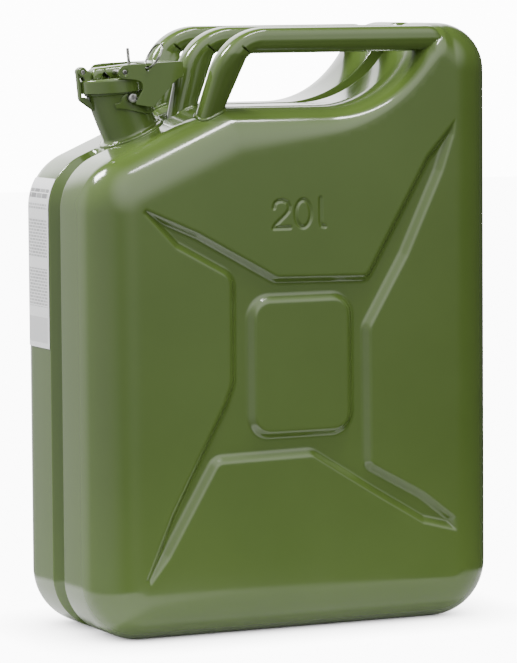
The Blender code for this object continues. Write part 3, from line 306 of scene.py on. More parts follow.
def signed_distance(points, loop):
    """Distance of each point from a closed outline, positive inside."""
    best = np.full(len(points), np.inf)
    inside = np.zeros(len(points), dtype=bool)
    for first, last in zip(loop, np.roll(loop, -1, axis=0)):
        edge = last - first
        if edge @ edge < 1e-14:
            continue
        best = np.minimum(best, edge_distance(points, first, last))
        crosses = (first[1] > points[:, 1]) != (last[1] > points[:, 1])
        if edge[1] != 0.0:
            reach = first[0] + (points[:, 1] - first[1]) * edge[0] / edge[1]
            inside ^= crosses & (points[:, 0] < reach)
    return np.where(inside, best, -best)


def channel_distance(points):
    """How far inside the pressed channel a point lies."""
    rim = signed_distance(points, loop_array(CROSS_RIM_SHARES))
    panel = signed_distance(points, loop_array(PANEL_RIM_SHARES))
    return np.minimum(rim, -panel)


# Capacity mark: strokes as shares of the mark's height, stamped into the face
MARK_HEIGHT = 0.0210
MARK_FOOT = 0.3165
MARK_LEFT = -0.0245
MARK_STROKE = 0.0017
MARK_DEPTH = 0.0009
MARK_STEP = 0.0005
MARK_MARGIN = 0.0040
MARK_WIDTH_SHARE = 2.2
MARK_TOP_SHARE = 1.04
MARK_FADE = 0.25
MARK_ROUND_STEPS = 32
TWO_SHARES = ((0.03, 0.74), (0.07, 0.90), (0.20, 0.99), (0.40, 1.00), (0.58, 0.93), (0.66, 0.78),
              (0.63, 0.62), (0.50, 0.47), (0.30, 0.30), (0.10, 0.13), (0.02, 0.00), (0.68, 0.00))
ONE_SHARES = ((1.93, 1.04), (1.93, 0.16), (1.98, 0.03), (2.10, 0.00))
ZERO_CENTRE_SHARE = (1.22, 0.50)
ZERO_RADIUS_SHARE = (0.31, 0.50)


def mark_strokes():
    """The capacity mark's strokes as open polylines."""
    zero = []
    for step in range(MARK_ROUND_STEPS + 1):
        angle = math.tau * step / MARK_ROUND_STEPS
        across = ZERO_CENTRE_SHARE[0] + ZERO_RADIUS_SHARE[0] * math.cos(angle)
        rise = ZERO_CENTRE_SHARE[1] + ZERO_RADIUS_SHARE[1] * math.sin(angle)
        zero.append((across, rise))
    strokes = []
    for stroke in (TWO_SHARES, ONE_SHARES, zero):
        points = np.array(stroke) * MARK_HEIGHT
        strokes.append(points + np.array((MARK_LEFT, MARK_FOOT)))
    return strokes


def mark_depth(points):
    """Depth of the capacity mark's strokes in the face."""
    best = np.full(len(points), np.inf)
    for stroke in mark_strokes():
        for first, last in zip(stroke[:-1], stroke[1:]):
            best = np.minimum(best, edge_distance(points, first, last))
    return MARK_DEPTH * smoothstep((MARK_STROKE - best) / MARK_STROKE + MARK_FADE)


def pressed_profile(share):
    """Straight wall with a short rounding at its rim and at its foot."""
    share = np.clip(share, 0.0, 1.0)
    edge = CROSS_EDGE_SHARE
    rim = share ** 2 / (2 * edge * (1 - edge))
    wall = (share - edge / 2) / (1 - edge)
    foot = 1.0 - (1.0 - share) ** 2 / (2 * edge * (1 - edge))
    return np.where(share < edge, rim, np.where(share > 1 - edge, foot, wall))


def grid_points(low, high, step):
    """Staggered grid of points between two corners."""
    across = np.arange(low[0], high[0], step)
    up = np.arange(low[1], high[1], step)
    rows = []
    for index, z in enumerate(up):
        shift = step / 2 if index % 2 else 0.0
        rows.append(np.column_stack((across + shift, np.full(len(across), z))))
    return np.vstack(rows)


def face_mesh(boundary, marked):
    """Points, depths and triangles that fill a wide face inside its boundary ring."""
    ring = np.array([tuple(point) for point in boundary])
    low = ring.min(axis=0)
    high = ring.max(axis=0)
    coarse = grid_points(low, high, COARSE_STEP)
    near = channel_distance(coarse)
    coarse = coarse[(near < -FINE_OUTSIDE - COARSE_STEP / 2) | (near > FINE_BAND + COARSE_STEP / 2)]
    fine = grid_points(low, high, FINE_STEP)
    near = channel_distance(fine)
    fine = fine[(near > -FINE_OUTSIDE) & (near < FINE_BAND)]
    if marked:
        corner = np.array((MARK_LEFT, MARK_FOOT))
        mark_low = corner - MARK_MARGIN
        mark_high = corner + np.array((MARK_WIDTH_SHARE, MARK_TOP_SHARE)) * MARK_HEIGHT + MARK_MARGIN
        dense = grid_points(mark_low, mark_high, MARK_STEP)
        outside = ((coarse < mark_low - MARK_STEP) | (coarse > mark_high + MARK_STEP)).any(axis=1)
        coarse = np.vstack((coarse[outside], dense))
    inner = np.vstack((coarse, fine))
    inner = inner[signed_distance(inner, ring) > RING_MARGIN]
    points = np.vstack((ring, inner))
    vectors = [Vector(point) for point in points]
    result = delaunay_2d_cdt(vectors, [], [list(range(len(ring)))], 1, MERGE_DISTANCE)
    origins = [original[0] for original in result[3]]
    depths = CROSS_DEPTH * pressed_profile(channel_distance(points) / CROSS_SLOPE)
    if marked:
        depths += mark_depth(points)
    depths[:len(ring)] = 0.0
    triangles = [[origins[index] for index in face] for face in result[2]]
    return points, depths, triangles


def add_object(name, data):
    obj = bpy.data.objects.new(name, data)
    bpy.context.scene.collection.objects.link(obj)
    return obj


def dress(obj, body, slot, nodes):
    """Material, body, slot and the CAD nodes that a new piece stands for."""
    obj.data.materials.append(by_slot[slot])
    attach(obj, body)
    if nodes:
        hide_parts(*nodes)


def make_body_skin(node, verts, faces):
    """A smooth enamel piece from points and faces, in place of a node of the can."""
    mesh = bpy.data.meshes.new(node + "_skin")
    mesh.from_pydata([tuple(vert) for vert in verts], [], faces)
    mesh.update()
    mesh.shade_smooth()
    bm = bmesh.new()
    bm.from_mesh(mesh)
    loose = [vert for vert in bm.verts if not vert.link_faces]
    bmesh.ops.delete(bm, geom=loose, context="VERTS")
    bmesh.ops.recalc_face_normals(bm, faces=bm.faces)
    bm.to_mesh(mesh)
    bm.free()
    dress(add_object(node + "_skin", mesh), "can", "enamel", [node])


def ring_quads(levels, count):
    """Quads between rings of as many points each."""
    faces = []
    for level in range(levels - 1):
        low = level * count
        for index in range(count):
            after = (index + 1) % count
            faces.append((low + index, low + after, low + count + after, low + count + index))
    return faces


def make_shell(node, side, marked):
    """One pressed half as a dense smooth skin."""
    outline = rounded_loop(side_corners())
    face = rounded_loop(face_corners())
    foot, up = neck_axis()
    pad = NECK_FLANGE_RADIUS + NECK_PAD_MARGIN
    shares = [float(smoothstep(((point - foot).length - pad) / NECK_PAD_BLEND)) for point, _ in outline]
    rings = []
    for y, inset in shell_stations():
        ring = [point - normal * inset * share for (point, normal), share in zip(outline, shares)]
        rings.append((ring, y))
    for step in range(1, ROUNDING_STEPS + 1):
        angle = math.pi / 2 * step / ROUNDING_STEPS
        ring = [point.lerp(flat, 1.0 - math.cos(angle)) for (point, _), (flat, _) in zip(outline, face)]
        rings.append((ring, SIDE_FLAT + FACE_RADIUS * math.sin(angle)))
    count = len(outline)
    verts = [(point.x, side * y, point.y) for ring, y in rings for point in ring]
    faces = ring_quads(len(rings), count)
    base = (len(rings) - 1) * count
    points, depths, triangles = face_mesh(rings[-1][0], marked)
    for (x, z), depth in zip(points[count:], depths[count:]):
        verts.append((x, side * (HALF_DEPTH - depth), z))
    faces.extend(tuple(base + index for index in triangle) for triangle in triangles)
    faces = [face for face in faces if not in_bore(verts, face, foot, up)]
    if side > 0:
        faces = [tuple(reversed(face)) for face in faces]
    make_body_skin(node, verts, faces)


def in_bore(verts, face, foot, up):
    """True where a facet lies inside the hole under the neck."""
    x, y, z = np.mean([verts[index] for index in face], axis=0)
    offset = Vector((x, z)) - foot
    rise = offset.dot(up)
    if abs(rise) > NECK_LENGTH / 3:
        return False
    across = (offset - up * rise).length
    return math.hypot(across, y) < NECK_HOLE_RADIUS


def handle_pairs():
    """Pairs of points on the outer and inner side of a handle, foot first, with a crease weight."""
    top = BODY_HEIGHT - HANDLE_DROP
    centre = Vector((HANDLE_BEND_RUN - HALF_WIDTH, top - HANDLE_BEND_RADIUS))
    knee = Vector((HANDLE_INNER_RUN - HALF_WIDTH, top - HANDLE_HEIGHT))
    reach = HANDLE_INNER_RADIUS * math.tan(HANDLE_INNER_ANGLE / 2)
    inner_centre = knee + Vector((reach, -HANDLE_INNER_RADIUS))
    shares = [step / BEND_STEPS for step in range(BEND_STEPS + 1)]
    shares = sorted(set(shares + [0.5 + offset for offset in CREASE_STEPS]))
    outer_slope = Vector((math.cos(HANDLE_BEND_ANGLE), math.sin(HANDLE_BEND_ANGLE)))
    inner_slope = Vector((math.cos(HANDLE_INNER_ANGLE), math.sin(HANDLE_INNER_ANGLE)))
    bend = []
    for share in shares:
        outer_angle = HANDLE_BEND_ANGLE * (1.0 - share)
        inner_angle = HANDLE_INNER_ANGLE * (1.0 - share)
        outer = centre + Vector((-math.sin(outer_angle), math.cos(outer_angle))) * HANDLE_BEND_RADIUS
        inner = inner_centre + Vector((-math.sin(inner_angle), math.cos(inner_angle))) * HANDLE_INNER_RADIUS
        weight = max(0.0, 1.0 - abs(share - 0.5) / CREASE_HALF)
        bend.append((outer, inner, weight))
    return bend, outer_slope, inner_slope


def handle_place(y, z):
    """Place along Y of a handle's middle, whose leg leans in towards its foot."""
    knee_z = BODY_HEIGHT - HANDLE_DROP - HANDLE_HEIGHT
    lean = HANDLE_LEAN * max(0.0, knee_z - z) / RECESS_DEPTH_UNDER
    return y - lean * y / HANDLE_SPACING


def section_loop(half_w, half_h):
    """Rounded section of a pressed tube, squarer on its outer side."""
    loop = []
    for step in range(SECTION_STEPS):
        angle = math.tau * (step + 0.5) / SECTION_STEPS
        power = SIDE_POWER_UP if math.sin(angle) > 0 else SIDE_POWER_DOWN
        across = math.copysign(abs(math.cos(angle)) ** (2.0 / power), math.cos(angle)) * half_w
        up = math.copysign(abs(math.sin(angle)) ** (2.0 / power), math.sin(angle)) * half_h
        loop.append((across, up))
    return loop


def make_handle(node, y):
    """A pressed tube with the ridges of its joint and a pinched crease on the inside of its bend."""
    bend, outer_slope, inner_slope = handle_pairs()
    outer_foot, inner_foot, _ = bend[0]
    pairs = []
    for step in range(LEG_STEPS):
        drop = HANDLE_LEG * (1.0 - step / LEG_STEPS)
        pairs.append((outer_foot - outer_slope * drop, inner_foot - inner_slope * drop, 0.0))
    pairs.extend(bend)
    top = BODY_HEIGHT - HANDLE_DROP
    end_x = HALF_WIDTH - HANDLE_END_RUN
    last_outer = Vector((end_x - HANDLE_END_SLANT, top))
    last_inner = Vector((end_x, top - HANDLE_HEIGHT))
    for step in range(1, BAR_STEPS + 1):
        share = step / BAR_STEPS
        pairs.append((bend[-1][0].lerp(last_outer, share), bend[-1][1].lerp(last_inner, share), 0.0))
    verts = []
    for outer, inner, weight in pairs:
        across = outer - inner
        half_h = across.length / 2
        across = across.normalized()
        middle = (outer + inner) / 2
        place_y = handle_place(y, middle.y)
        for across_y, up in section_loop(HANDLE_WIDTH / 2, half_h):
            low_share = (half_h - up) / (2 * half_h)
            ridge = RIDGE_HEIGHT * math.exp(-(up / RIDGE_HALF) ** 2) * (1.0 - weight)
            across_y += math.copysign(ridge, across_y)
            reach = float(smoothstep((low_share - 1.0 + CREASE_REACH_SHARE) * CREASE_FADE))
            pinch = weight * CREASE_DEPTH * reach
            across_y -= math.copysign(min(pinch, abs(across_y)), across_y)
            up += pinch * float(smoothstep((low_share - CREASE_LIFT_SHARE) * CREASE_LIFT_FADE))
            place = middle + across * up
            verts.append((place.x, place_y + across_y, place.y))
    count = SECTION_STEPS
    ring = [Vector(vert) for vert in verts[-count:]]
    centre = sum(ring, Vector()) / count
    for share, dome in HANDLE_CAP:
        verts.extend(centre + (vert - centre) * share + Vector((dome, 0.0, 0.0)) for vert in ring)
    levels = len(pairs) + len(HANDLE_CAP)
    end_face = tuple(range((levels - 1) * count, levels * count))
    make_body_skin(node, verts, [end_face] + ring_quads(levels, count))


def neck_point(rise, angle, radius):
    foot, up = neck_axis()
    share = float(smoothstep((rise - NECK_STRAIGHT) / (NECK_LENGTH - NECK_STRAIGHT)))
    tilt = SHOULDER_ANGLE + (CLOSURE_TILT - SHOULDER_ANGLE) * share
    centre = foot + up * rise
    reach = radius * math.cos(angle)
    x = centre.x + reach * math.cos(tilt)
    return Vector((x, radius * math.sin(angle), centre.y + reach * math.sin(tilt)))


def closure_matrix():
    """From the closure's own axes, u towards the handles and w up, to the object's."""
    foot, up = neck_axis()
    mouth = foot + up * NECK_LENGTH
    return Matrix.Translation((mouth.x, 0.0, mouth.y)) @ Matrix.Rotation(-CLOSURE_TILT, 4, "Y")


# Closure, in its own axes
MOUTH_DROP = 0.0005
NECK_WALL = 0.0012
FLANGE_TOP = 0.0015
NECK_BEAD = 0.0010
NECK_BEAD_LENGTH = 0.0022
LID_CENTRE_U = -0.001
LID_RADIUS = 0.0258
LID_SHEET = 0.0012
LID_TOP_W = 0.0105
LID_SKIRT_W = -0.0010
LID_CROWN = 0.0024
LID_HEM_RISE = 0.0010
LID_HEM_RUN = 0.0240
RIVET_HOLE = 0.0028
BRACKET_HALF = 0.0026
BRACKET_SHEET = 0.0020
BRACKET_GAP = 0.0006
BRACKET_KNEE_W = -0.0025
BRACKET_KNEE_RUN = 0.0034
BRACKET_FOOT = ((-0.0170, -0.0150), (-0.0170, -0.0105))
KNUCKLE_RADIUS = 0.0041
KNUCKLE_GAP = 0.0004
HINGE_W = 0.017
HINGE_PIN_RADIUS = 0.0017
HINGE_U = LID_CENTRE_U - LID_RADIUS - BRACKET_GAP - BRACKET_SHEET + KNUCKLE_RADIUS
LID_EAR = 0.0016
LID_EAR_RADIUS = 0.0036
LID_EAR_REACH = 0.0110
LID_EAR_TOP = 0.0018
PIN_SUNK = 0.0003
BRIDGE_HALF = 0.0080
BRIDGE_SHEET = 0.0015
BRIDGE_TOP_W = 0.0190
BRIDGE_BEND = 0.0045
BRIDGE_LEFT_U = -0.0185
BRIDGE_CORNER = 0.0050
BRIDGE_RIGHT_U = 0.020
BRIDGE_TOE_U = 0.009
BRIDGE_NOSE_W = 0.0150
BRIDGE_NOTCH_U = -0.0090
BRIDGE_NOTCH_HALF = 0.0045
BRIDGE_NOTCH_RISE = 0.0055
PIVOT_U = -0.0006
PIVOT_W = 0.0146
PIVOT_RADIUS = 0.0019
BOSS_RADIUS = 0.0040
LEVER_PLATE_Y = 0.027
LEVER_PLATE = 0.002
LEVER_WEB = 0.0016
LEVER_WEB_U = 0.0250
LEVER_EAR_RADIUS = 0.0054
LEVER_EAR_SWEEP = math.radians(152.0)
LEVER_CORNERS = (
    (0.0083, 0.0077, 0.0015), (0.0118, 0.0058, 0.0015), (0.0129, 0.0038, 0.0015),
    (0.0129, -0.0004, 0.0030), (0.0058, -0.0095, 0.0006), (0.0062, -0.0112, 0.0008),
    (0.0202, -0.0149, 0.0012), (0.0421, 0.0045, 0.0030), (0.0484, 0.0060, 0.0006),
    (0.0484, 0.0179, 0.0008), (0.0045, 0.0202, 0.0030),
)
LEVER_END = (0.0484, 0.0179, 0.0060)
LEVER_FALL = 0.0524
LUG_U = 0.0036
LUG_W = -0.0058
LUG_RADIUS = 0.0036
LUG_PROUD = 0.0012
RING_U = 0.0184
RING_W = 0.0154
RING_RADIUS = 0.0110
RING_WIRE = 0.0009
RING_HOLE = 0.0019
RING_LEAN = math.radians(54.5)
SAFETY_PIN_U = 0.0155
SAFETY_PIN_RADIUS = 0.00125
SAFETY_PIN_TOP_W = 0.0315
STRAP_SHEET = 0.0018
STRAP_HALF_ANGLE = math.radians(118.0)
STRAP_TOP = 0.0085
STRAP_TIP_FOOT = 0.0125
STRAP_FOOT = 0.0260
STRAP_EAR_ANGLE = math.radians(16.0)
STRAP_TAPER_SHARE = 0.625
STRAP_STEPS = 96
STRAP_SOFT_SHARE = 0.28
STRAP_CUT_SHARE = 0.4

# Fineness, roundings and small details of the closure
ROUND_STEPS = 96
PIN_STEPS = 32
EAR_STEPS = 24
KNUCKLE_STEPS = 28
BRIDGE_STEPS = 40
BRIDGE_CORNER_STEPS = 10
BRIDGE_WALL_STEPS = 7
BRIDGE_BEND_STEPS = 8
EASE_STEPS = 5
EASE_SHARE = 0.45
EDGE_ANGLE = math.radians(50.0)
SHARP_ANGLE = math.radians(42.0)
FLAT_ANGLE = math.radians(1.0)
SOFT_EDGE = 0.00045
THIN_EDGE = 0.0003
BRACKET_EDGE = 0.0005
NECK_BEAD_SLOPE = 0.8
NECK_FILLETS = (0.0001, 0.0006, 0.0030, 0.0008, 0.0006, 0.0006, 0.0004)
NECK_ROW_STEP = 0.002
LID_FILLETS = (0.0010, 0.0004, 0.0005, LID_CROWN, 0.0002)
LID_EAR_ARC = (math.radians(20), math.radians(270))
HINGE_BORE = (HINGE_U, HINGE_W, HINGE_PIN_RADIUS + CLEARANCE)
PIVOT_BORE = PIVOT_RADIUS + CLEARANCE
BRACKET_ROUNDINGS = (0.0016, 0.0006, 0.0022)
BRIDGE_LEAST_BEND = 0.0005
BRIDGE_LEAST_WALL = 0.0002
BRIDGE_FIRST_ANGLE = math.pi * 0.98
LEVER_INNER_ROUNDING = 0.0008
LEVER_OUTER_ROUNDING = 0.0016
# Raised rim of a pivot boss: (radius, how far it stands out of the plate)
BOSS_RIM = (
    (PIVOT_BORE, -0.0004), (BOSS_RADIUS, -0.0004), (BOSS_RADIUS - 0.0002, 0.0003),
    (BOSS_RADIUS - 0.0009, 0.0003), (BOSS_RADIUS - 0.0012, -0.0001), (PIVOT_BORE, -0.0001),
)
PIN_SOFT_SHARE = 0.25
PIN_CUT_SHARE = 0.3
PIN_DISH_SHARE = 0.62
PIN_LIP_SHARE = 0.66
HINGE_PIN_DISH = 0.0030
PIVOT_PIN_DISH = 0.0040
SAFETY_PIN_CONE = 0.0008
SAFETY_PIN_TIP = 0.0003
SAFETY_PIN_TIP_SHARE = 0.8
RING_TURN_STEPS = 180
RING_SIDES = 10
RING_START = -0.4
RING_WIRE_SHARE = 0.52
RING_CLIMB_SHARE = 0.46
RING_CLIMB_FROM = 0.44
RING_CLIMB_SPAN = 0.12

# Weld beads round the neck and the handles' feet
WELD_SIDES = 12
WELD_WAVE = 1.1
WELD_DRIFT = 0.37
NECK_WELD_RADIUS = 0.0013
NECK_WELD_RIPPLE = 0.55
NECK_WELD_STEPS = 200
NECK_WELD_OUT = 0.0002
FOOT_WELD_RADIUS = 0.0016
FOOT_WELD_RIPPLE = 0.5
FOOT_WELD_START = 0.004


def turns(count):
    """Angles of even steps once round."""
    return [math.tau * step / count for step in range(count)]


def arc(centre_u, centre_w, radius, first, last, steps):
    points = []
    for step in range(steps + 1):
        angle = first + (last - first) * step / steps
        points.append((centre_u + radius * math.cos(angle), centre_w + radius * math.sin(angle)))
    return points


def eased(corners):
    """A closed outline of (u, w, reach) whose corners are rounded by their reach."""
    outline = []
    for index, (u, w, reach) in enumerate(corners):
        point = Vector((u, w))
        before = Vector(corners[index - 1][:2]) - point
        after = Vector(corners[(index + 1) % len(corners)][:2]) - point
        near = min(reach, before.length * EASE_SHARE, after.length * EASE_SHARE)
        if near < SOFT_EDGE / 4:
            outline.append(tuple(point))
            continue
        first = point + before.normalized() * near
        last = point + after.normalized() * near
        outline.extend(tuple(place) for place in rounding(first, point, last, EASE_STEPS))
    return outline


def soften(bm, width):
    """Round the sharp edges of a closed form."""
    bmesh.ops.remove_doubles(bm, verts=bm.verts, dist=MERGE_DISTANCE)
    bmesh.ops.recalc_face_normals(bm, faces=bm.faces)
    bmesh.ops.dissolve_limit(bm, angle_limit=FLAT_ANGLE, verts=bm.verts, edges=bm.edges)
    sharp = [edge for edge in bm.edges if len(edge.link_faces) == 2 and edge.calc_face_angle() > EDGE_ANGLE]
    bmesh.ops.bevel(bm, geom=sharp, offset=width, offset_type="OFFSET", segments=2, profile=0.5,
                    affect="EDGES", clamp_overlap=True)
    return bm


def plate(outline, holes, low_y, high_y, width=SOFT_EDGE):
    """A flat plate with rounded edges and round holes."""
    bm = bmesh.new()
    loops = [outline] + [arc(u, w, radius, 0.0, math.tau, PIN_STEPS)[:-1] for u, w, radius in holes]
    edges = []
    for loop in loops:
        verts = [bm.verts.new((u, low_y, w)) for u, w in loop]
        edges.extend(bm.edges.new((verts[index - 1], vert)) for index, vert in enumerate(verts))
    bmesh.ops.triangle_fill(bm, use_beauty=True, edges=edges)
    grown = bmesh.ops.extrude_face_region(bm, geom=list(bm.faces), use_keep_orig=True)
    verts = [item for item in grown["geom"] if isinstance(item, bmesh.types.BMVert)]
    bmesh.ops.translate(bm, verts=verts, vec=(0.0, high_y - low_y, 0.0))
    return soften(bm, width)


def grid_form(rows, closed_across, closed_along=False):
    """Quads over rows of points."""
    bm = bmesh.new()
    layers = [[bm.verts.new(point) for point in row] for row in rows]
    count = len(rows[0])
    spans = range(len(rows)) if closed_along else range(1, len(rows))
    for level in spans:
        for index in range(0 if closed_across else 1, count):
            low, high = layers[level - 1], layers[level]
            bm.faces.new((low[index - 1], low[index], high[index], high[index - 1]))
    return bm


def capped_form(rows):
    """Quads over closed rows of points, with the first and the last row filled."""
    bm = grid_form(rows, True)
    for ring in (rows[0], rows[-1]):
        bm.faces.new([bm.verts.new(point) for point in ring])
    bmesh.ops.remove_doubles(bm, verts=bm.verts, dist=MERGE_DISTANCE)
    return bm


def spun(profile, centre, steps, axis="W", adjust=None):
    """A closed profile of (radius, height) carried round an axis along W or Y."""
    rows = []
    for angle in turns(steps):
        row = []
        for radius, height in profile:
            across, along = radius * math.cos(angle), radius * math.sin(angle)
            if axis == "Y":
                row.append((centre[0] + across, height, centre[1] + along))
                continue
            shift = adjust(centre[0] + across, height) if adjust else 0.0
            row.append((centre[0] + across, along, height + shift))
        rows.append(row)
    bm = grid_form(rows, True, True)
    bmesh.ops.remove_doubles(bm, verts=bm.verts, dist=1e-6)
    return bm


def merged(parts):
    """One form from several."""
    whole = bmesh.new()
    for part in parts:
        mesh = bpy.data.meshes.new("part")
        part.to_mesh(mesh)
        part.free()
        whole.from_mesh(mesh)
        bpy.data.meshes.remove(mesh)
    return whole


def make_piece(name, bm, body, slot, nodes, in_closure):
    """A smooth piece from a form, which is in the closure's axes or the object's."""
    bmesh.ops.recalc_face_normals(bm, faces=bm.faces)
    mesh = bpy.data.meshes.new(name)
    bm.to_mesh(mesh)
    bm.free()
    if in_closure:
        mesh.transform(closure_matrix())
    mesh.shade_smooth()
    mesh.set_sharp_from_angle(angle=SHARP_ANGLE)
    obj = add_object(name, mesh)
    crisp = obj.modifiers.new("crisp", "WEIGHTED_NORMAL")
    crisp.keep_sharp = True
    dress(obj, body, slot, nodes)
    return obj


def make_skin(node, bm, body, slot, in_closure=True):
    """The piece that takes a CAD node's place."""
    return make_piece(node + "_skin", bm, body, slot, [node], in_closure)


def make_neck():
    """Neck with its flange, a soft rise from the flange and the rolled bead under the mouth."""
    mouth = NECK_LENGTH - MOUTH_DROP
    inner = NECK_RADIUS - NECK_WALL
    bead = NECK_RADIUS + NECK_BEAD
    profile = ((CLEARANCE, inner), (CLEARANCE, NECK_FLANGE_RADIUS), (FLANGE_TOP, NECK_FLANGE_RADIUS),
               (FLANGE_TOP, NECK_RADIUS), (mouth - NECK_BEAD_LENGTH, NECK_RADIUS),
               (mouth - NECK_BEAD_LENGTH * NECK_BEAD_SLOPE, bead), (mouth, bead), (mouth, inner),
               (CLEARANCE, inner))
    line = filleted(profile, NECK_FILLETS, FILLET_STEPS)
    points = []
    for first, last in zip(line, line[1:]):
        count = max(1, int((last - first).length / NECK_ROW_STEP))
        points.extend(first.lerp(last, step / count) for step in range(count))
    rows = [[neck_point(point.x, angle, point.y) for angle in turns(ROUND_STEPS)] for point in points]
    reach = NECK_FLANGE_RADIUS + NECK_WELD_OUT
    path = [neck_point(CLEARANCE, angle, reach) for angle in turns(NECK_WELD_STEPS)]
    weld = weld_form(path, NECK_WELD_RADIUS, NECK_WELD_RIPPLE)
    make_skin("neck", merged([grid_form(rows, True, True), weld]), "can", "enamel", False)


def weld_form(path, radius, ripple):
    """A closed bead of weld along a path, with the ripples of its drops."""
    rows = []
    count = len(path)
    for index, point in enumerate(path):
        ahead = (path[(index + 1) % count] - path[index - 1]).normalized()
        side = ahead.cross(Vector((0.0, 0.0, 1.0)))
        side = side.normalized() if side.length > 1e-6 else Vector((0.0, 1.0, 0.0))
        up = side.cross(ahead)
        drop = 0.5 + 0.5 * math.sin(index * WELD_WAVE) * math.sin(index * WELD_DRIFT + 1.0)
        size = radius * (1.0 - 0.25 * ripple + 0.5 * ripple * drop)
        rows.append([point + side * (size * math.cos(angle)) + up * (size * math.sin(angle))
                     for angle in turns(WELD_SIDES)])
    return grid_form(rows, True, True)


def make_strap():
    """Curved strap round the neck, with ears for the studs and narrow tips."""
    inner = NECK_RADIUS + CLEARANCE
    outer = inner + STRAP_SHEET
    soft = STRAP_SHEET * STRAP_SOFT_SHARE
    cut = soft * STRAP_CUT_SHARE
    ear_rise = LUG_W + LUG_RADIUS + STRAP_TOP
    rows = []
    for step in range(STRAP_STEPS + 1):
        angle = STRAP_HALF_ANGLE * (2.0 * step / STRAP_STEPS - 1.0)
        spread = abs(angle) / STRAP_HALF_ANGLE
        near = max(0.0, 1.0 - abs(abs(angle) - math.pi / 2) / STRAP_EAR_ANGLE)
        top = NECK_LENGTH - STRAP_TOP + ear_rise * math.sqrt(near)
        share = float(smoothstep((1.0 - spread) / STRAP_TAPER_SHARE))
        foot = NECK_LENGTH - STRAP_TIP_FOOT - (STRAP_FOOT - STRAP_TIP_FOOT) * share
        ring = ((foot, inner), (foot, outer - soft), (foot + cut, outer - cut), (foot + soft, outer),
                (top - soft, outer), (top - cut, outer - cut), (top, outer - soft), (top, inner))
        rows.append([neck_point(rise, angle, radius) for rise, radius in ring])
    make_skin("locking_strap", capped_form(rows), "can", "enamel", False)


def lid_hem(u, w):
    """How much the skirt's lower edge rises towards the hinge."""
    left = LID_CENTRE_U - LID_RADIUS - CLEARANCE
    rise = LID_HEM_RISE * max(0.0, 1.0 - (u - left) / LID_HEM_RUN)
    return rise * max(0.0, 1.0 - (w - LID_SKIRT_W) / (LID_TOP_W - LID_SKIRT_W))


def make_lid():
    """Round pressed lid with its crown, its hem and the hinge's two ears."""
    inner = LID_RADIUS - LID_SHEET
    under = LID_TOP_W - LID_SHEET
    points = ((RIVET_HOLE, under), (inner, under), (inner, LID_SKIRT_W), (LID_RADIUS, LID_SKIRT_W),
              (LID_RADIUS, LID_TOP_W), (RIVET_HOLE, LID_TOP_W), (RIVET_HOLE, under))
    line = filleted(points, LID_FILLETS, FILLET_STEPS)
    parts = [spun(line[:-1], (LID_CENTRE_U, 0.0), ROUND_STEPS, adjust=lid_hem)]
    root_w = LID_TOP_W - LID_SHEET / 2
    far_u = HINGE_U + LID_EAR_REACH
    outline = [(HINGE_U + LID_EAR_RADIUS / 3, root_w), (far_u, root_w), (far_u, LID_TOP_W + LID_EAR_TOP)]
    outline.extend(arc(HINGE_U, HINGE_W, LID_EAR_RADIUS, *LID_EAR_ARC, EAR_STEPS))
    near = BRACKET_HALF + KNUCKLE_GAP
    for side in (-1.0, 1.0):
        low, high = sorted((side * near, side * (near + LID_EAR)))
        parts.append(plate(outline, [HINGE_BORE], low, high, THIN_EDGE))
    make_skin("lid", merged(parts), "lid", "enamel")


def make_bracket():
    """Strap that is rolled round the hinge pin."""
    inner_u = LID_CENTRE_U - LID_RADIUS - BRACKET_GAP
    outer_u = inner_u - BRACKET_SHEET
    first = -math.acos((inner_u - HINGE_U) / KNUCKLE_RADIUS)
    knee, inner_bend, outer_bend = BRACKET_ROUNDINGS
    corners = [(u, w, 0.0) for u, w in BRACKET_FOOT]
    corners.append((inner_u + BRACKET_KNEE_RUN, BRACKET_KNEE_W, knee))
    corners.append((inner_u, BRACKET_KNEE_W, inner_bend))
    knuckle = arc(HINGE_U, HINGE_W, KNUCKLE_RADIUS, first, math.pi, KNUCKLE_STEPS)
    corners.extend((u, w, 0.0) for u, w in knuckle)
    corners.append((outer_u, BRACKET_KNEE_W - BRACKET_SHEET, outer_bend))
    form = plate(eased(corners), [HINGE_BORE], -BRACKET_HALF, BRACKET_HALF, BRACKET_EDGE)
    make_skin("hinge_bracket", form, "can", "enamel")


def bridge_foot(u):
    """Lower edge of the bridge's walls, with its notch and the rising nose."""
    foot = LID_TOP_W + CLEARANCE
    notch = BRIDGE_NOTCH_RISE * max(0.0, 1.0 - abs(u - BRIDGE_NOTCH_U) / BRIDGE_NOTCH_HALF)
    nose = (BRIDGE_NOSE_W - foot) * max(0.0, (u - BRIDGE_TOE_U) / (BRIDGE_RIGHT_U - BRIDGE_TOE_U))
    return foot + max(notch, nose)


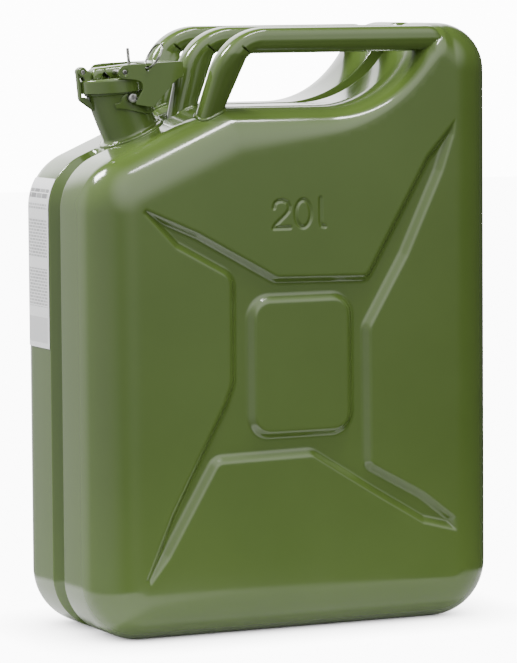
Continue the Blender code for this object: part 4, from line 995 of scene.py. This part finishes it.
def make_bridge():
    """Pressed channel with round shoulders."""
    corner_u = BRIDGE_LEFT_U + BRIDGE_CORNER
    stations = arc(corner_u, BRIDGE_TOP_W - BRIDGE_CORNER, BRIDGE_CORNER,
                   BRIDGE_FIRST_ANGLE, math.pi / 2, BRIDGE_CORNER_STEPS)
    span = BRIDGE_RIGHT_U - BRIDGE_LEFT_U - BRIDGE_CORNER
    extra = [corner_u + span * step / BRIDGE_STEPS for step in range(1, BRIDGE_STEPS + 1)]
    stations.extend((u, BRIDGE_TOP_W) for u in sorted(extra + [BRIDGE_NOTCH_U]))
    rows = []
    for u, top in stations:
        foot = bridge_foot(u)
        bend = min(BRIDGE_BEND, max(top - foot - BRIDGE_LEAST_WALL, BRIDGE_LEAST_BEND))
        half = []
        for step in range(BRIDGE_WALL_STEPS):
            half.append((-BRIDGE_HALF, foot + (top - bend - foot) * step / BRIDGE_WALL_STEPS))
        for step in range(BRIDGE_BEND_STEPS + 1):
            angle = math.pi / 2 * step / BRIDGE_BEND_STEPS
            y = -BRIDGE_HALF + BRIDGE_BEND * (1.0 - math.cos(angle))
            half.append((y, top - bend + bend * math.sin(angle)))
        rows.append([(u, y, w) for y, w in half] + [(u, -y, w) for y, w in reversed(half)])
    obj = make_skin("lid_bridge", grid_form(rows, False), "lid", "enamel")
    sheet = obj.modifiers.new("sheet", "SOLIDIFY")
    sheet.thickness = BRIDGE_SHEET
    sheet.offset = -1.0
    edge = obj.modifiers.new("edge", "BEVEL")
    edge.width = THIN_EDGE
    edge.segments = 2
    edge.limit_method = "ANGLE"
    edge.angle_limit = EDGE_ANGLE
    for name in ("edge", "sheet"):
        obj.modifiers.move(obj.modifiers.find(name), 0)


def make_lever():
    """Two hooked side plates with pivot bosses, joined by a web that turns down at its end."""
    ear = arc(PIVOT_U, PIVOT_W, LEVER_EAR_RADIUS, math.pi / 2, math.pi / 2 + LEVER_EAR_SWEEP, EAR_STEPS)
    outline = eased([(u, w, 0.0) for u, w in ear] + list(LEVER_CORNERS))
    holes = [(PIVOT_U, PIVOT_W, PIVOT_BORE), (RING_U, RING_W, RING_HOLE)]
    outer = LEVER_PLATE_Y + LEVER_PLATE
    parts = [plate(outline, holes, *sorted((side * LEVER_PLATE_Y, side * outer))) for side in (-1.0, 1.0)]
    end_u, end_w, end_foot = LEVER_END
    near_top = end_w + LEVER_FALL * (end_u - LEVER_WEB_U)
    strip = [
        (LEVER_WEB_U, near_top - LEVER_WEB, 0.0),
        (end_u - LEVER_WEB, end_w - LEVER_WEB, LEVER_INNER_ROUNDING),
        (end_u - LEVER_WEB, end_foot + LEVER_WEB, 0.0),
        (end_u, end_foot + LEVER_WEB, 0.0),
        (end_u, end_w, LEVER_OUTER_ROUNDING),
        (LEVER_WEB_U, near_top, 0.0),
    ]
    reach = LEVER_PLATE_Y + LEVER_PLATE / 2
    parts.append(plate(eased(strip), [], -reach, reach, THIN_EDGE))
    for side in (-1.0, 1.0):
        rim = [(radius, side * outer + side * rise) for radius, rise in BOSS_RIM]
        parts.append(spun(rim, (PIVOT_U, PIVOT_W), PIN_STEPS, "Y"))
    make_skin("lever", merged(parts), "lever", "enamel")


def pin_profile(radius, low, high, dish):
    """Profile of a pin with domed ends, or dished where a hollow rivet shows."""
    soft = radius * PIN_SOFT_SHARE
    cut = soft * PIN_CUT_SHARE
    end = ((0.0, dish), (radius * PIN_DISH_SHARE, dish), (radius * PIN_LIP_SHARE, 0.0),
           (radius - soft, 0.0), (radius - cut, cut), (radius, soft))
    profile = [(reach, high - inset) for reach, inset in end]
    return profile + [(reach, low + inset) for reach, inset in reversed(end)]


def make_pins():
    """Hinge pin, pivot pin, the two studs and the safety pin."""
    half = BRACKET_HALF + KNUCKLE_GAP + LID_EAR - PIN_SUNK
    outer = LEVER_PLATE_Y + LEVER_PLATE
    end = outer - PIN_SUNK
    seat = NECK_RADIUS + CLEARANCE + STRAP_SHEET + CLEARANCE
    lug_end = outer + LUG_PROUD
    pins = (
        ("hinge_pin", "can", HINGE_PIN_RADIUS, -half, half, HINGE_PIN_DISH, (HINGE_U, HINGE_W)),
        ("lever_pivot_pin", "lid", PIVOT_RADIUS, -end, end, PIVOT_PIN_DISH, (PIVOT_U, PIVOT_W)),
        ("lock_lug_front", "can", LUG_RADIUS, -lug_end, -seat, 0.0, (LUG_U, LUG_W)),
        ("lock_lug_rear", "can", LUG_RADIUS, seat, lug_end, 0.0, (LUG_U, LUG_W)),
    )
    for node, body, radius, low, high, dish, centre in pins:
        form = spun(pin_profile(radius, low, high, dish), centre, PIN_STEPS, "Y")
        make_skin(node, form, body, "zinc")
    foot = LID_TOP_W + CLEARANCE
    top = SAFETY_PIN_TOP_W
    tip_radius = SAFETY_PIN_RADIUS * SAFETY_PIN_TIP_SHARE
    profile = ((0.0, foot), (SAFETY_PIN_RADIUS, foot), (SAFETY_PIN_RADIUS, top - SAFETY_PIN_CONE),
               (tip_radius, top - SAFETY_PIN_TIP), (0.0, top))
    make_skin("safety_pin", spun(profile, (SAFETY_PIN_U, 0.0), PIN_STEPS), "safety_pin", "zinc")


def make_ring():
    """Split ring: wire wound twice, with the step where a turn crosses over."""
    lean = Vector((math.cos(RING_LEAN), 0.0, math.sin(RING_LEAN)))
    across = Vector((0.0, 1.0, 0.0))
    normal = lean.cross(across)
    centre = Vector((RING_U, -LEVER_PLATE_Y - LEVER_PLATE / 2, RING_W)) + lean * RING_RADIUS
    wire = RING_WIRE * RING_WIRE_SHARE
    rows = []
    for step in range(RING_TURN_STEPS + 1):
        share = step / RING_TURN_STEPS
        angle = math.tau * 2.0 * share + RING_START
        climb = float(smoothstep((share - RING_CLIMB_FROM) / RING_CLIMB_SPAN)) * 2.0 - 1.0
        out = lean * math.cos(angle) + across * math.sin(angle)
        middle = centre + out * RING_RADIUS + normal * (climb * RING_WIRE * RING_CLIMB_SHARE)
        rows.append([middle + (out * math.cos(turn) + normal * math.sin(turn)) * wire
                     for turn in turns(RING_SIDES)])
    make_skin("split_ring", capped_form(rows), "split_ring", "zinc")


def skin_tree(name):
    """Search tree of a skin, in the object's own axes."""
    mesh = bpy.data.objects[name].data
    points = [vert.co.copy() for vert in mesh.vertices]
    return BVHTree.FromPolygons(points, [tuple(face.vertices) for face in mesh.polygons])


# Seam and label
SEAM_RADIUS = 0.0019
SEAM_STEP = 0.0012
SEAM_SIDES = 8
SEAM_RISE = 1.15
SEAM_SINK = 0.0002
SEAM_WAVE = 2100.0
SEAM_DRIFT = 310.0
SEAM_RIPPLE = 0.12
LABEL_FOOT = 0.222
LABEL_HEIGHT = 0.132
LABEL_WIDTH = 0.0345
LABEL_WRAP = math.radians(20.0)
LABEL_THICKNESS = 0.00025
LABEL_ROWS = 40
LABEL_STEPS = 12


def make_weld_seam():
    """Rolled weld along the groove's floor, with the ripples of the electrode."""
    outline = rounded_loop(side_corners())
    foot, _ = neck_axis()
    reach = NECK_FLANGE_RADIUS + NECK_PAD_MARGIN + NECK_PAD_BLEND
    far = [(point - foot).length >= reach for point, _ in outline]
    start = next(index for index in range(len(outline)) if far[index] and not far[index - 1])
    turned = list(zip(outline, far))
    strip = [pair for pair, shown in turned[start:] + turned[:start] if shown]
    sink = GROOVE_DEPTH + SEAM_SINK
    rows = []
    travelled = 0.0
    for (point, normal), (after, after_normal) in zip(strip, strip[1:]):
        count = max(1, int((after - point).length / SEAM_STEP))
        for step in range(count):
            place = point.lerp(after, step / count)
            out = normal.lerp(after_normal, step / count).normalized()
            travelled += (after - point).length / count
            ripple = 0.5 + 0.5 * math.sin(travelled * SEAM_WAVE) * math.sin(travelled * SEAM_DRIFT + 0.7)
            size = SEAM_RADIUS * (1.0 - SEAM_RIPPLE + SEAM_RIPPLE * ripple)
            row = []
            for side in range(SEAM_SIDES + 1):
                angle = math.pi * side / SEAM_SIDES
                middle = place - out * (sink - size * math.sin(angle) * SEAM_RISE)
                row.append((middle.x, -size * math.cos(angle), middle.y))
            rows.append(row)
    make_skin("weld_seam", grid_form(rows, True), "can", "enamel", False)


def make_label():
    """Paper that follows the flank and the start of its rounded corner."""
    outline = [pair for pair in rounded_loop(side_corners())
               if pair[0].x < -HALF_WIDTH / 2 and pair[0].y > BASE_CORNER_RADIUS]
    outline.sort(key=lambda pair: pair[0].y)
    heights = [point.y for point, _ in outline]
    courses = [[point.x for point, _ in outline], [normal.x for _, normal in outline],
               [normal.y for _, normal in outline]]
    rows = []
    for step in range(LABEL_ROWS + 1):
        z = LABEL_FOOT + LABEL_HEIGHT * step / LABEL_ROWS
        x, out_x, out_z = (np.interp(z, heights, course) for course in courses)
        edge = Vector((x, z))
        out = Vector((out_x, out_z)).normalized()
        section = []
        for reach in (CLEARANCE, CLEARANCE + LABEL_THICKNESS):
            line = []
            for side in range(LABEL_STEPS):
                line.append((reach, SIDE_FLAT - LABEL_WIDTH * (1.0 - side / LABEL_STEPS)))
            radius = FACE_RADIUS + reach
            for side in range(LABEL_STEPS + 1):
                angle = LABEL_WRAP * side / LABEL_STEPS
                line.append((radius * math.cos(angle) - FACE_RADIUS, SIDE_FLAT + radius * math.sin(angle)))
            section.append(line)
        places = [(edge + out * rise, y) for rise, y in section[0] + section[1][::-1]]
        rows.append([(place.x, y, place.y) for place, y in places])
    make_skin("label", capped_form(rows), "can", "paper", False)


def foot_weld(name, y, skins):
    """Weld round a handle's foot, where its leg meets the body."""
    bend, outer_slope, inner_slope = handle_pairs()
    outer, inner, _ = bend[0]
    ends = []
    for first, last in ((outer, inner), (outer - outer_slope * HANDLE_LEG, inner - inner_slope * HANDLE_LEG)):
        across = first - last
        middle = (first + last) / 2
        place_y = handle_place(y, middle.y)
        ring = []
        for across_y, up in section_loop(HANDLE_WIDTH / 2, across.length / 2):
            place = middle + across.normalized() * up
            ring.append(Vector((place.x, place_y + across_y, place.y)))
        ends.append(ring)
    path = []
    for high, low in zip(*ends):
        ray = (low - high).normalized()
        hits = [skin.ray_cast(high - ray * FOOT_WELD_START, ray) for skin in skins]
        hits = [hit for hit in hits if hit[0] is not None]
        if hits:
            path.append(min(hits, key=lambda hit: hit[3])[0])
    make_piece(name, weld_form(path, FOOT_WELD_RADIUS, FOOT_WELD_RIPPLE), "can", "enamel", [], False)


# Materials


def set_inputs(tree, node, inputs):
    """Give each input its value, or a link where the value is another node's output."""
    for name, value in inputs.items():
        if isinstance(value, bpy.types.NodeSocket):
            tree.links.new(value, node.inputs[name])
        else:
            node.inputs[name].default_value = value


def add_node(tree, kind, inputs):
    node = tree.nodes.new("ShaderNode" + kind)
    set_inputs(tree, node, inputs)
    return node


def maths(tree, operation, *values):
    node = tree.nodes.new("ShaderNodeMath")
    node.operation = operation
    set_inputs(tree, node, dict(enumerate(values)))
    return node.outputs["Value"]


def coords(tree, kind):
    return tree.nodes.new("ShaderNodeTexCoord").outputs[kind]


def camera_ray(tree):
    return tree.nodes.new("ShaderNodeLightPath").outputs["Is Camera Ray"]


def noise(tree, scale, detail):
    inputs = {"Vector": coords(tree, "Object"), "Scale": scale, "Detail": detail}
    return add_node(tree, "TexNoise", inputs).outputs["Fac"]


def ramp(tree, source, first, last):
    """Colour between two (position, colour) stops."""
    node = add_node(tree, "ValToRGB", {"Fac": source})
    for element, (position, colour) in zip(node.color_ramp.elements, (first, last)):
        element.position = position
        element.color = colour
    return node.outputs["Color"]


def bump(tree, height, strength, distance):
    inputs = {"Height": height, "Strength": strength, "Distance": distance}
    return add_node(tree, "Bump", inputs).outputs["Normal"]


def new_material(name):
    mat = bpy.data.materials.new(name)
    mat.use_nodes = True
    return mat, mat.node_tree, mat.node_tree.nodes["Principled BSDF"]


def grey(value):
    return (value, value, value, 1.0)


def enamel_material():
    """Glossy olive stove enamel with faint orange peel and clouding."""
    mat, tree, shader = new_material("olive_enamel")
    cloud = noise(tree, 9.0, 4.0)
    tone = ramp(tree, cloud, (0.35, (0.072, 0.118, 0.023, 1.0)), (0.65, (0.079, 0.127, 0.026, 1.0)))
    set_inputs(tree, shader, {
        "Base Color": tone,
        "Roughness": ramp(tree, noise(tree, 30.0, 5.0), (0.35, grey(0.12)), (0.70, grey(0.18))),
        "Normal": bump(tree, noise(tree, 420.0, 2.0), 0.03, 0.0003),
        "Coat Weight": 0.5,
        "Coat Roughness": 0.06,
    })
    return mat


def zinc_material():
    """Plated steel with a cloudy tone and fine drawing marks."""
    mat, tree, shader = new_material("zinc_plate")
    cloud = noise(tree, 240.0, 4.0)
    set_inputs(tree, shader, {
        "Base Color": ramp(tree, cloud, (0.38, (0.20, 0.20, 0.19, 1.0)), (0.62, (0.62, 0.62, 0.60, 1.0))),
        "Roughness": ramp(tree, cloud, (0.3, grey(0.22)), (0.7, grey(0.38))),
        "Metallic": 1.0,
        "Normal": bump(tree, noise(tree, 900.0, 2.0), 0.08, 0.0002),
    })
    return mat


def rubber_material():
    """Black rubber with a fine grain."""
    mat, tree, shader = new_material("seal_rubber")
    grain = noise(tree, 700.0, 3.0)
    set_inputs(tree, shader, {
        "Base Color": ramp(tree, grain, (0.3, grey(0.012)), (0.7, grey(0.028))),
        "Roughness": 0.7,
        "Normal": bump(tree, grain, 0.2, 0.0002),
    })
    return mat


# Rows of print on the label: (foot, head, row height, word length, strength)
LABEL_BLOCKS = (
    (0.3390, 0.3460, 0.0070, 0.0110, 0.75),
    (0.3300, 0.3350, 0.0025, 0.0050, 0.50),
    (0.2930, 0.3230, 0.0025, 0.0060, 0.52),
    (0.2540, 0.2840, 0.0025, 0.0060, 0.52),
    (0.2260, 0.2460, 0.0500, 0.1000, 0.30),
)
LABEL_MARGIN = 0.0030
LABEL_GAP = 0.0005
# A block with rows taller than this is one even patch, without gaps
LABEL_PATCH_ROW = 0.01
LABEL_INK = (0.03, 0.03, 0.035, 1.0)
# Colour sockets of a Mix node
MIX_FIRST = 6
MIX_SECOND = 7
MIX_RESULT = 2


def between(tree, value, low, high):
    """One where a value lies between two limits."""
    return maths(tree, "COMPARE", value, (low + high) / 2, (high - low) / 2)


def label_print(tree):
    """Grey rows that stand in for small print, without any letters."""
    split = add_node(tree, "SeparateXYZ", {"Vector": coords(tree, "Object")})
    y, z = split.outputs["Y"], split.outputs["Z"]
    place = add_node(tree, "CombineXYZ", {"X": y, "Y": z})
    first = SIDE_FLAT - LABEL_WIDTH + LABEL_MARGIN
    last = SIDE_FLAT + FACE_RADIUS * math.sin(LABEL_WRAP) - LABEL_MARGIN
    across = between(tree, y, first, last)
    total = None
    for foot, head, row, word, strength in LABEL_BLOCKS:
        words = add_node(tree, "TexBrick", {
            "Vector": place.outputs["Vector"], "Scale": 1.0, "Row Height": row, "Brick Width": word,
            "Mortar Size": LABEL_GAP if row < LABEL_PATCH_ROW else 0.0, "Mortar Smooth": 0.3,
            "Color1": grey(1.0), "Color2": grey(0.75), "Mortar": grey(0.0)})
        ink = maths(tree, "MULTIPLY", between(tree, z, foot, head), across)
        ink = maths(tree, "MULTIPLY", ink, words.outputs["Color"])
        ink = maths(tree, "MULTIPLY", ink, strength)
        total = ink if total is None else maths(tree, "MAXIMUM", total, ink)
    return total


def paper_material():
    """Coated label paper with faint fibre and rows of grey print."""
    mat, tree, shader = new_material("label_paper")
    grain = noise(tree, 500.0, 4.0)
    tone = ramp(tree, grain, (0.3, (0.91, 0.92, 0.93, 1.0)), (0.7, (0.96, 0.96, 0.96, 1.0)))
    mix = tree.nodes.new("ShaderNodeMix")
    mix.data_type = "RGBA"
    set_inputs(tree, mix, {"Factor": label_print(tree), MIX_FIRST: tone, MIX_SECOND: LABEL_INK})
    set_inputs(tree, shader, {
        "Base Color": mix.outputs[MIX_RESULT],
        "Roughness": 0.45,
        "Normal": bump(tree, grain, 0.05, 0.0002),
    })
    return mat


# Stage
FLOOR_HALF = 6.0
SHEET_REACH = 0.27
SHEET_FADE = 0.05
# Reach of the painted contact shadow in the floor's glow
PAINTED_SHADOW_REACH = 0.06
FLOOR_GLOW = 11.0


def make_floor():
    """Pale floor with a bright glow for the camera, darkened near the can by ambient occlusion as a painted
    contact shadow.
    """
    mat, tree, shader = new_material("floor_paper")
    tone = ramp(tree, noise(tree, 40.0, 3.0), (0.3, grey(0.80)), (0.7, grey(0.82)))
    set_inputs(tree, shader, {"Base Color": tone, "Roughness": 0.5})
    # Painted shadow: ambient occlusion darkens the floor's glow for the camera near the can
    near = add_node(tree, "AmbientOcclusion", {"Distance": PAINTED_SHADOW_REACH})
    near.samples = 8
    glow = add_node(tree, "Emission", {"Color": near.outputs["Color"], "Strength": FLOOR_GLOW})
    reach = tree.nodes.new("ShaderNodeVectorMath")
    reach.operation = "LENGTH"
    set_inputs(tree, reach, {0: coords(tree, "Object")})
    edge = add_node(tree, "MapRange", {
        "Value": reach.outputs["Value"], "From Min": SHEET_REACH, "From Max": SHEET_REACH + SHEET_FADE})
    clear = tree.nodes.new("ShaderNodeBsdfTransparent")
    sheet = add_node(tree, "MixShader", {
        "Fac": edge.outputs["Result"], 1: shader.outputs["BSDF"], 2: clear.outputs["BSDF"]})
    look = add_node(tree, "MixShader", {
        "Fac": camera_ray(tree), 1: sheet.outputs["Shader"], 2: glow.outputs["Emission"]})
    set_inputs(tree, tree.nodes["Material Output"], {"Surface": look.outputs["Shader"]})
    mesh = bpy.data.meshes.new("floor")
    corners = [(x * FLOOR_HALF, y * FLOOR_HALF, 0.0) for x, y in ((-1, -1), (1, -1), (1, 1), (-1, 1))]
    mesh.from_pydata(corners, [], [(0, 1, 2, 3)])
    mesh.materials.append(mat)
    floor = add_object("floor", mesh)


def area_light(name, place, target, size_x, size_y, radiance):
    light = bpy.data.lights.new(name, "AREA")
    light.shape = "RECTANGLE"
    light.size = size_x
    light.size_y = size_y
    light.energy = radiance * math.pi * size_x * size_y
    obj = add_object(name, light)
    obj.location = place
    obj.rotation_euler = (Vector(target) - Vector(place)).to_track_quat("-Z", "Y").to_euler()
    obj.visible_camera = False


# Soft surroundings: (direction, cosine where it starts, cosine where it is full, radiance)
SURROUNDINGS = (
    ((-0.886, -0.463, 0.0), -0.01, 0.01, 0.13),
    ((-0.93, -0.10, 0.36), 0.20, 1.0, 0.70),
    ((0.20, 0.93, 0.30), 0.86, 0.97, 3.2),
    ((-0.50, 0.86, 0.0), 0.75, 0.97, 0.6),
    ((0.06, -0.72, 0.69), 0.54, 1.0, 2.2),
)
SURROUND_BASE = 0.06
BACKDROP = 13.0
# Area lights: (name, place, target, width, height, radiance)
BOXES = (
    ("top_box", (0.20, -0.36, 2.0), (0.05, -0.05, 0.4), 0.90, 0.15, 46.0),
    ("back_box", (-1.03, 0.90, 1.75), (-0.1, 0.0, 0.36), 0.46, 0.56, 70.0),
)


def make_lights():
    """Soft surroundings, an even pale backdrop for the camera, and the area lights."""
    world = bpy.data.worlds.new("studio")
    world.use_nodes = True
    tree = world.node_tree
    around = coords(tree, "Generated")
    total = SURROUND_BASE
    for direction, first, full, radiance in SURROUNDINGS:
        dot = tree.nodes.new("ShaderNodeVectorMath")
        dot.operation = "DOT_PRODUCT"
        set_inputs(tree, dot, {0: around, 1: Vector(direction).normalized()})
        spread = tree.nodes.new("ShaderNodeMapRange")
        spread.interpolation_type = "SMOOTHSTEP"
        set_inputs(tree, spread, {
            "Value": dot.outputs["Value"], "From Min": first, "From Max": full, "To Max": radiance})
        total = maths(tree, "ADD", total, spread.outputs["Result"])
    pick = add_node(tree, "Mix", {"Factor": camera_ray(tree), "A": total, "B": BACKDROP})
    set_inputs(tree, tree.nodes["Background"], {"Color": grey(1.0), "Strength": pick.outputs["Result"]})
    bpy.context.scene.world = world
    for box in BOXES:
        area_light(*box)


def make_camera():
    """Camera at the photo's viewing angle, with the photo's framing."""
    camera = add_object("camera", bpy.data.cameras.new("camera"))
    camera.data.sensor_width = SENSOR
    camera.data.lens = FOCAL_PX / IMAGE_HEIGHT * SENSOR
    camera.data.shift_x = (IMAGE_WIDTH / 2 - CENTRE_PX[0]) / IMAGE_HEIGHT
    camera.data.shift_y = -(IMAGE_HEIGHT / 2 - CENTRE_PX[1]) / IMAGE_HEIGHT
    look = Vector((
        math.sin(CAMERA_TURN) * math.cos(CAMERA_TILT),
        math.cos(CAMERA_TURN) * math.cos(CAMERA_TILT),
        -math.sin(CAMERA_TILT)))
    camera.location = Vector((0.0, 0.0, BODY_HEIGHT / 2)) - look * CAMERA_DISTANCE
    turn = look.to_track_quat("-Z", "Y").to_matrix() @ Matrix.Rotation(-CAMERA_ROLL, 3, "Z")
    camera.rotation_euler = turn.to_euler()
    camera.data.clip_end = 50.0
    bpy.context.scene.camera = camera


by_slot = {
    "enamel": enamel_material(),
    "zinc": zinc_material(),
    "seal": rubber_material(),
    "paper": paper_material(),
}
for part in frame["record"]["subparts"]:
    node = frame["nodes"][part["node"]]
    node.data.materials.clear()
    node.data.materials.append(by_slot[part["material_slot"]])

make_shell("front_shell", -1.0, True)
make_shell("rear_shell", 1.0, False)
for name, place in HANDLES:
    make_handle("handle_" + name, place)
skins = [skin_tree(name) for name in ("front_shell_skin", "rear_shell_skin")]
for name, place in HANDLES:
    foot_weld("handle_weld_" + name, place, skins)
make_neck()
make_strap()
make_lid()
make_bracket()
make_bridge()
make_lever()
make_pins()
make_ring()
make_weld_seam()
make_label()
make_floor()
make_lights()
make_camera()
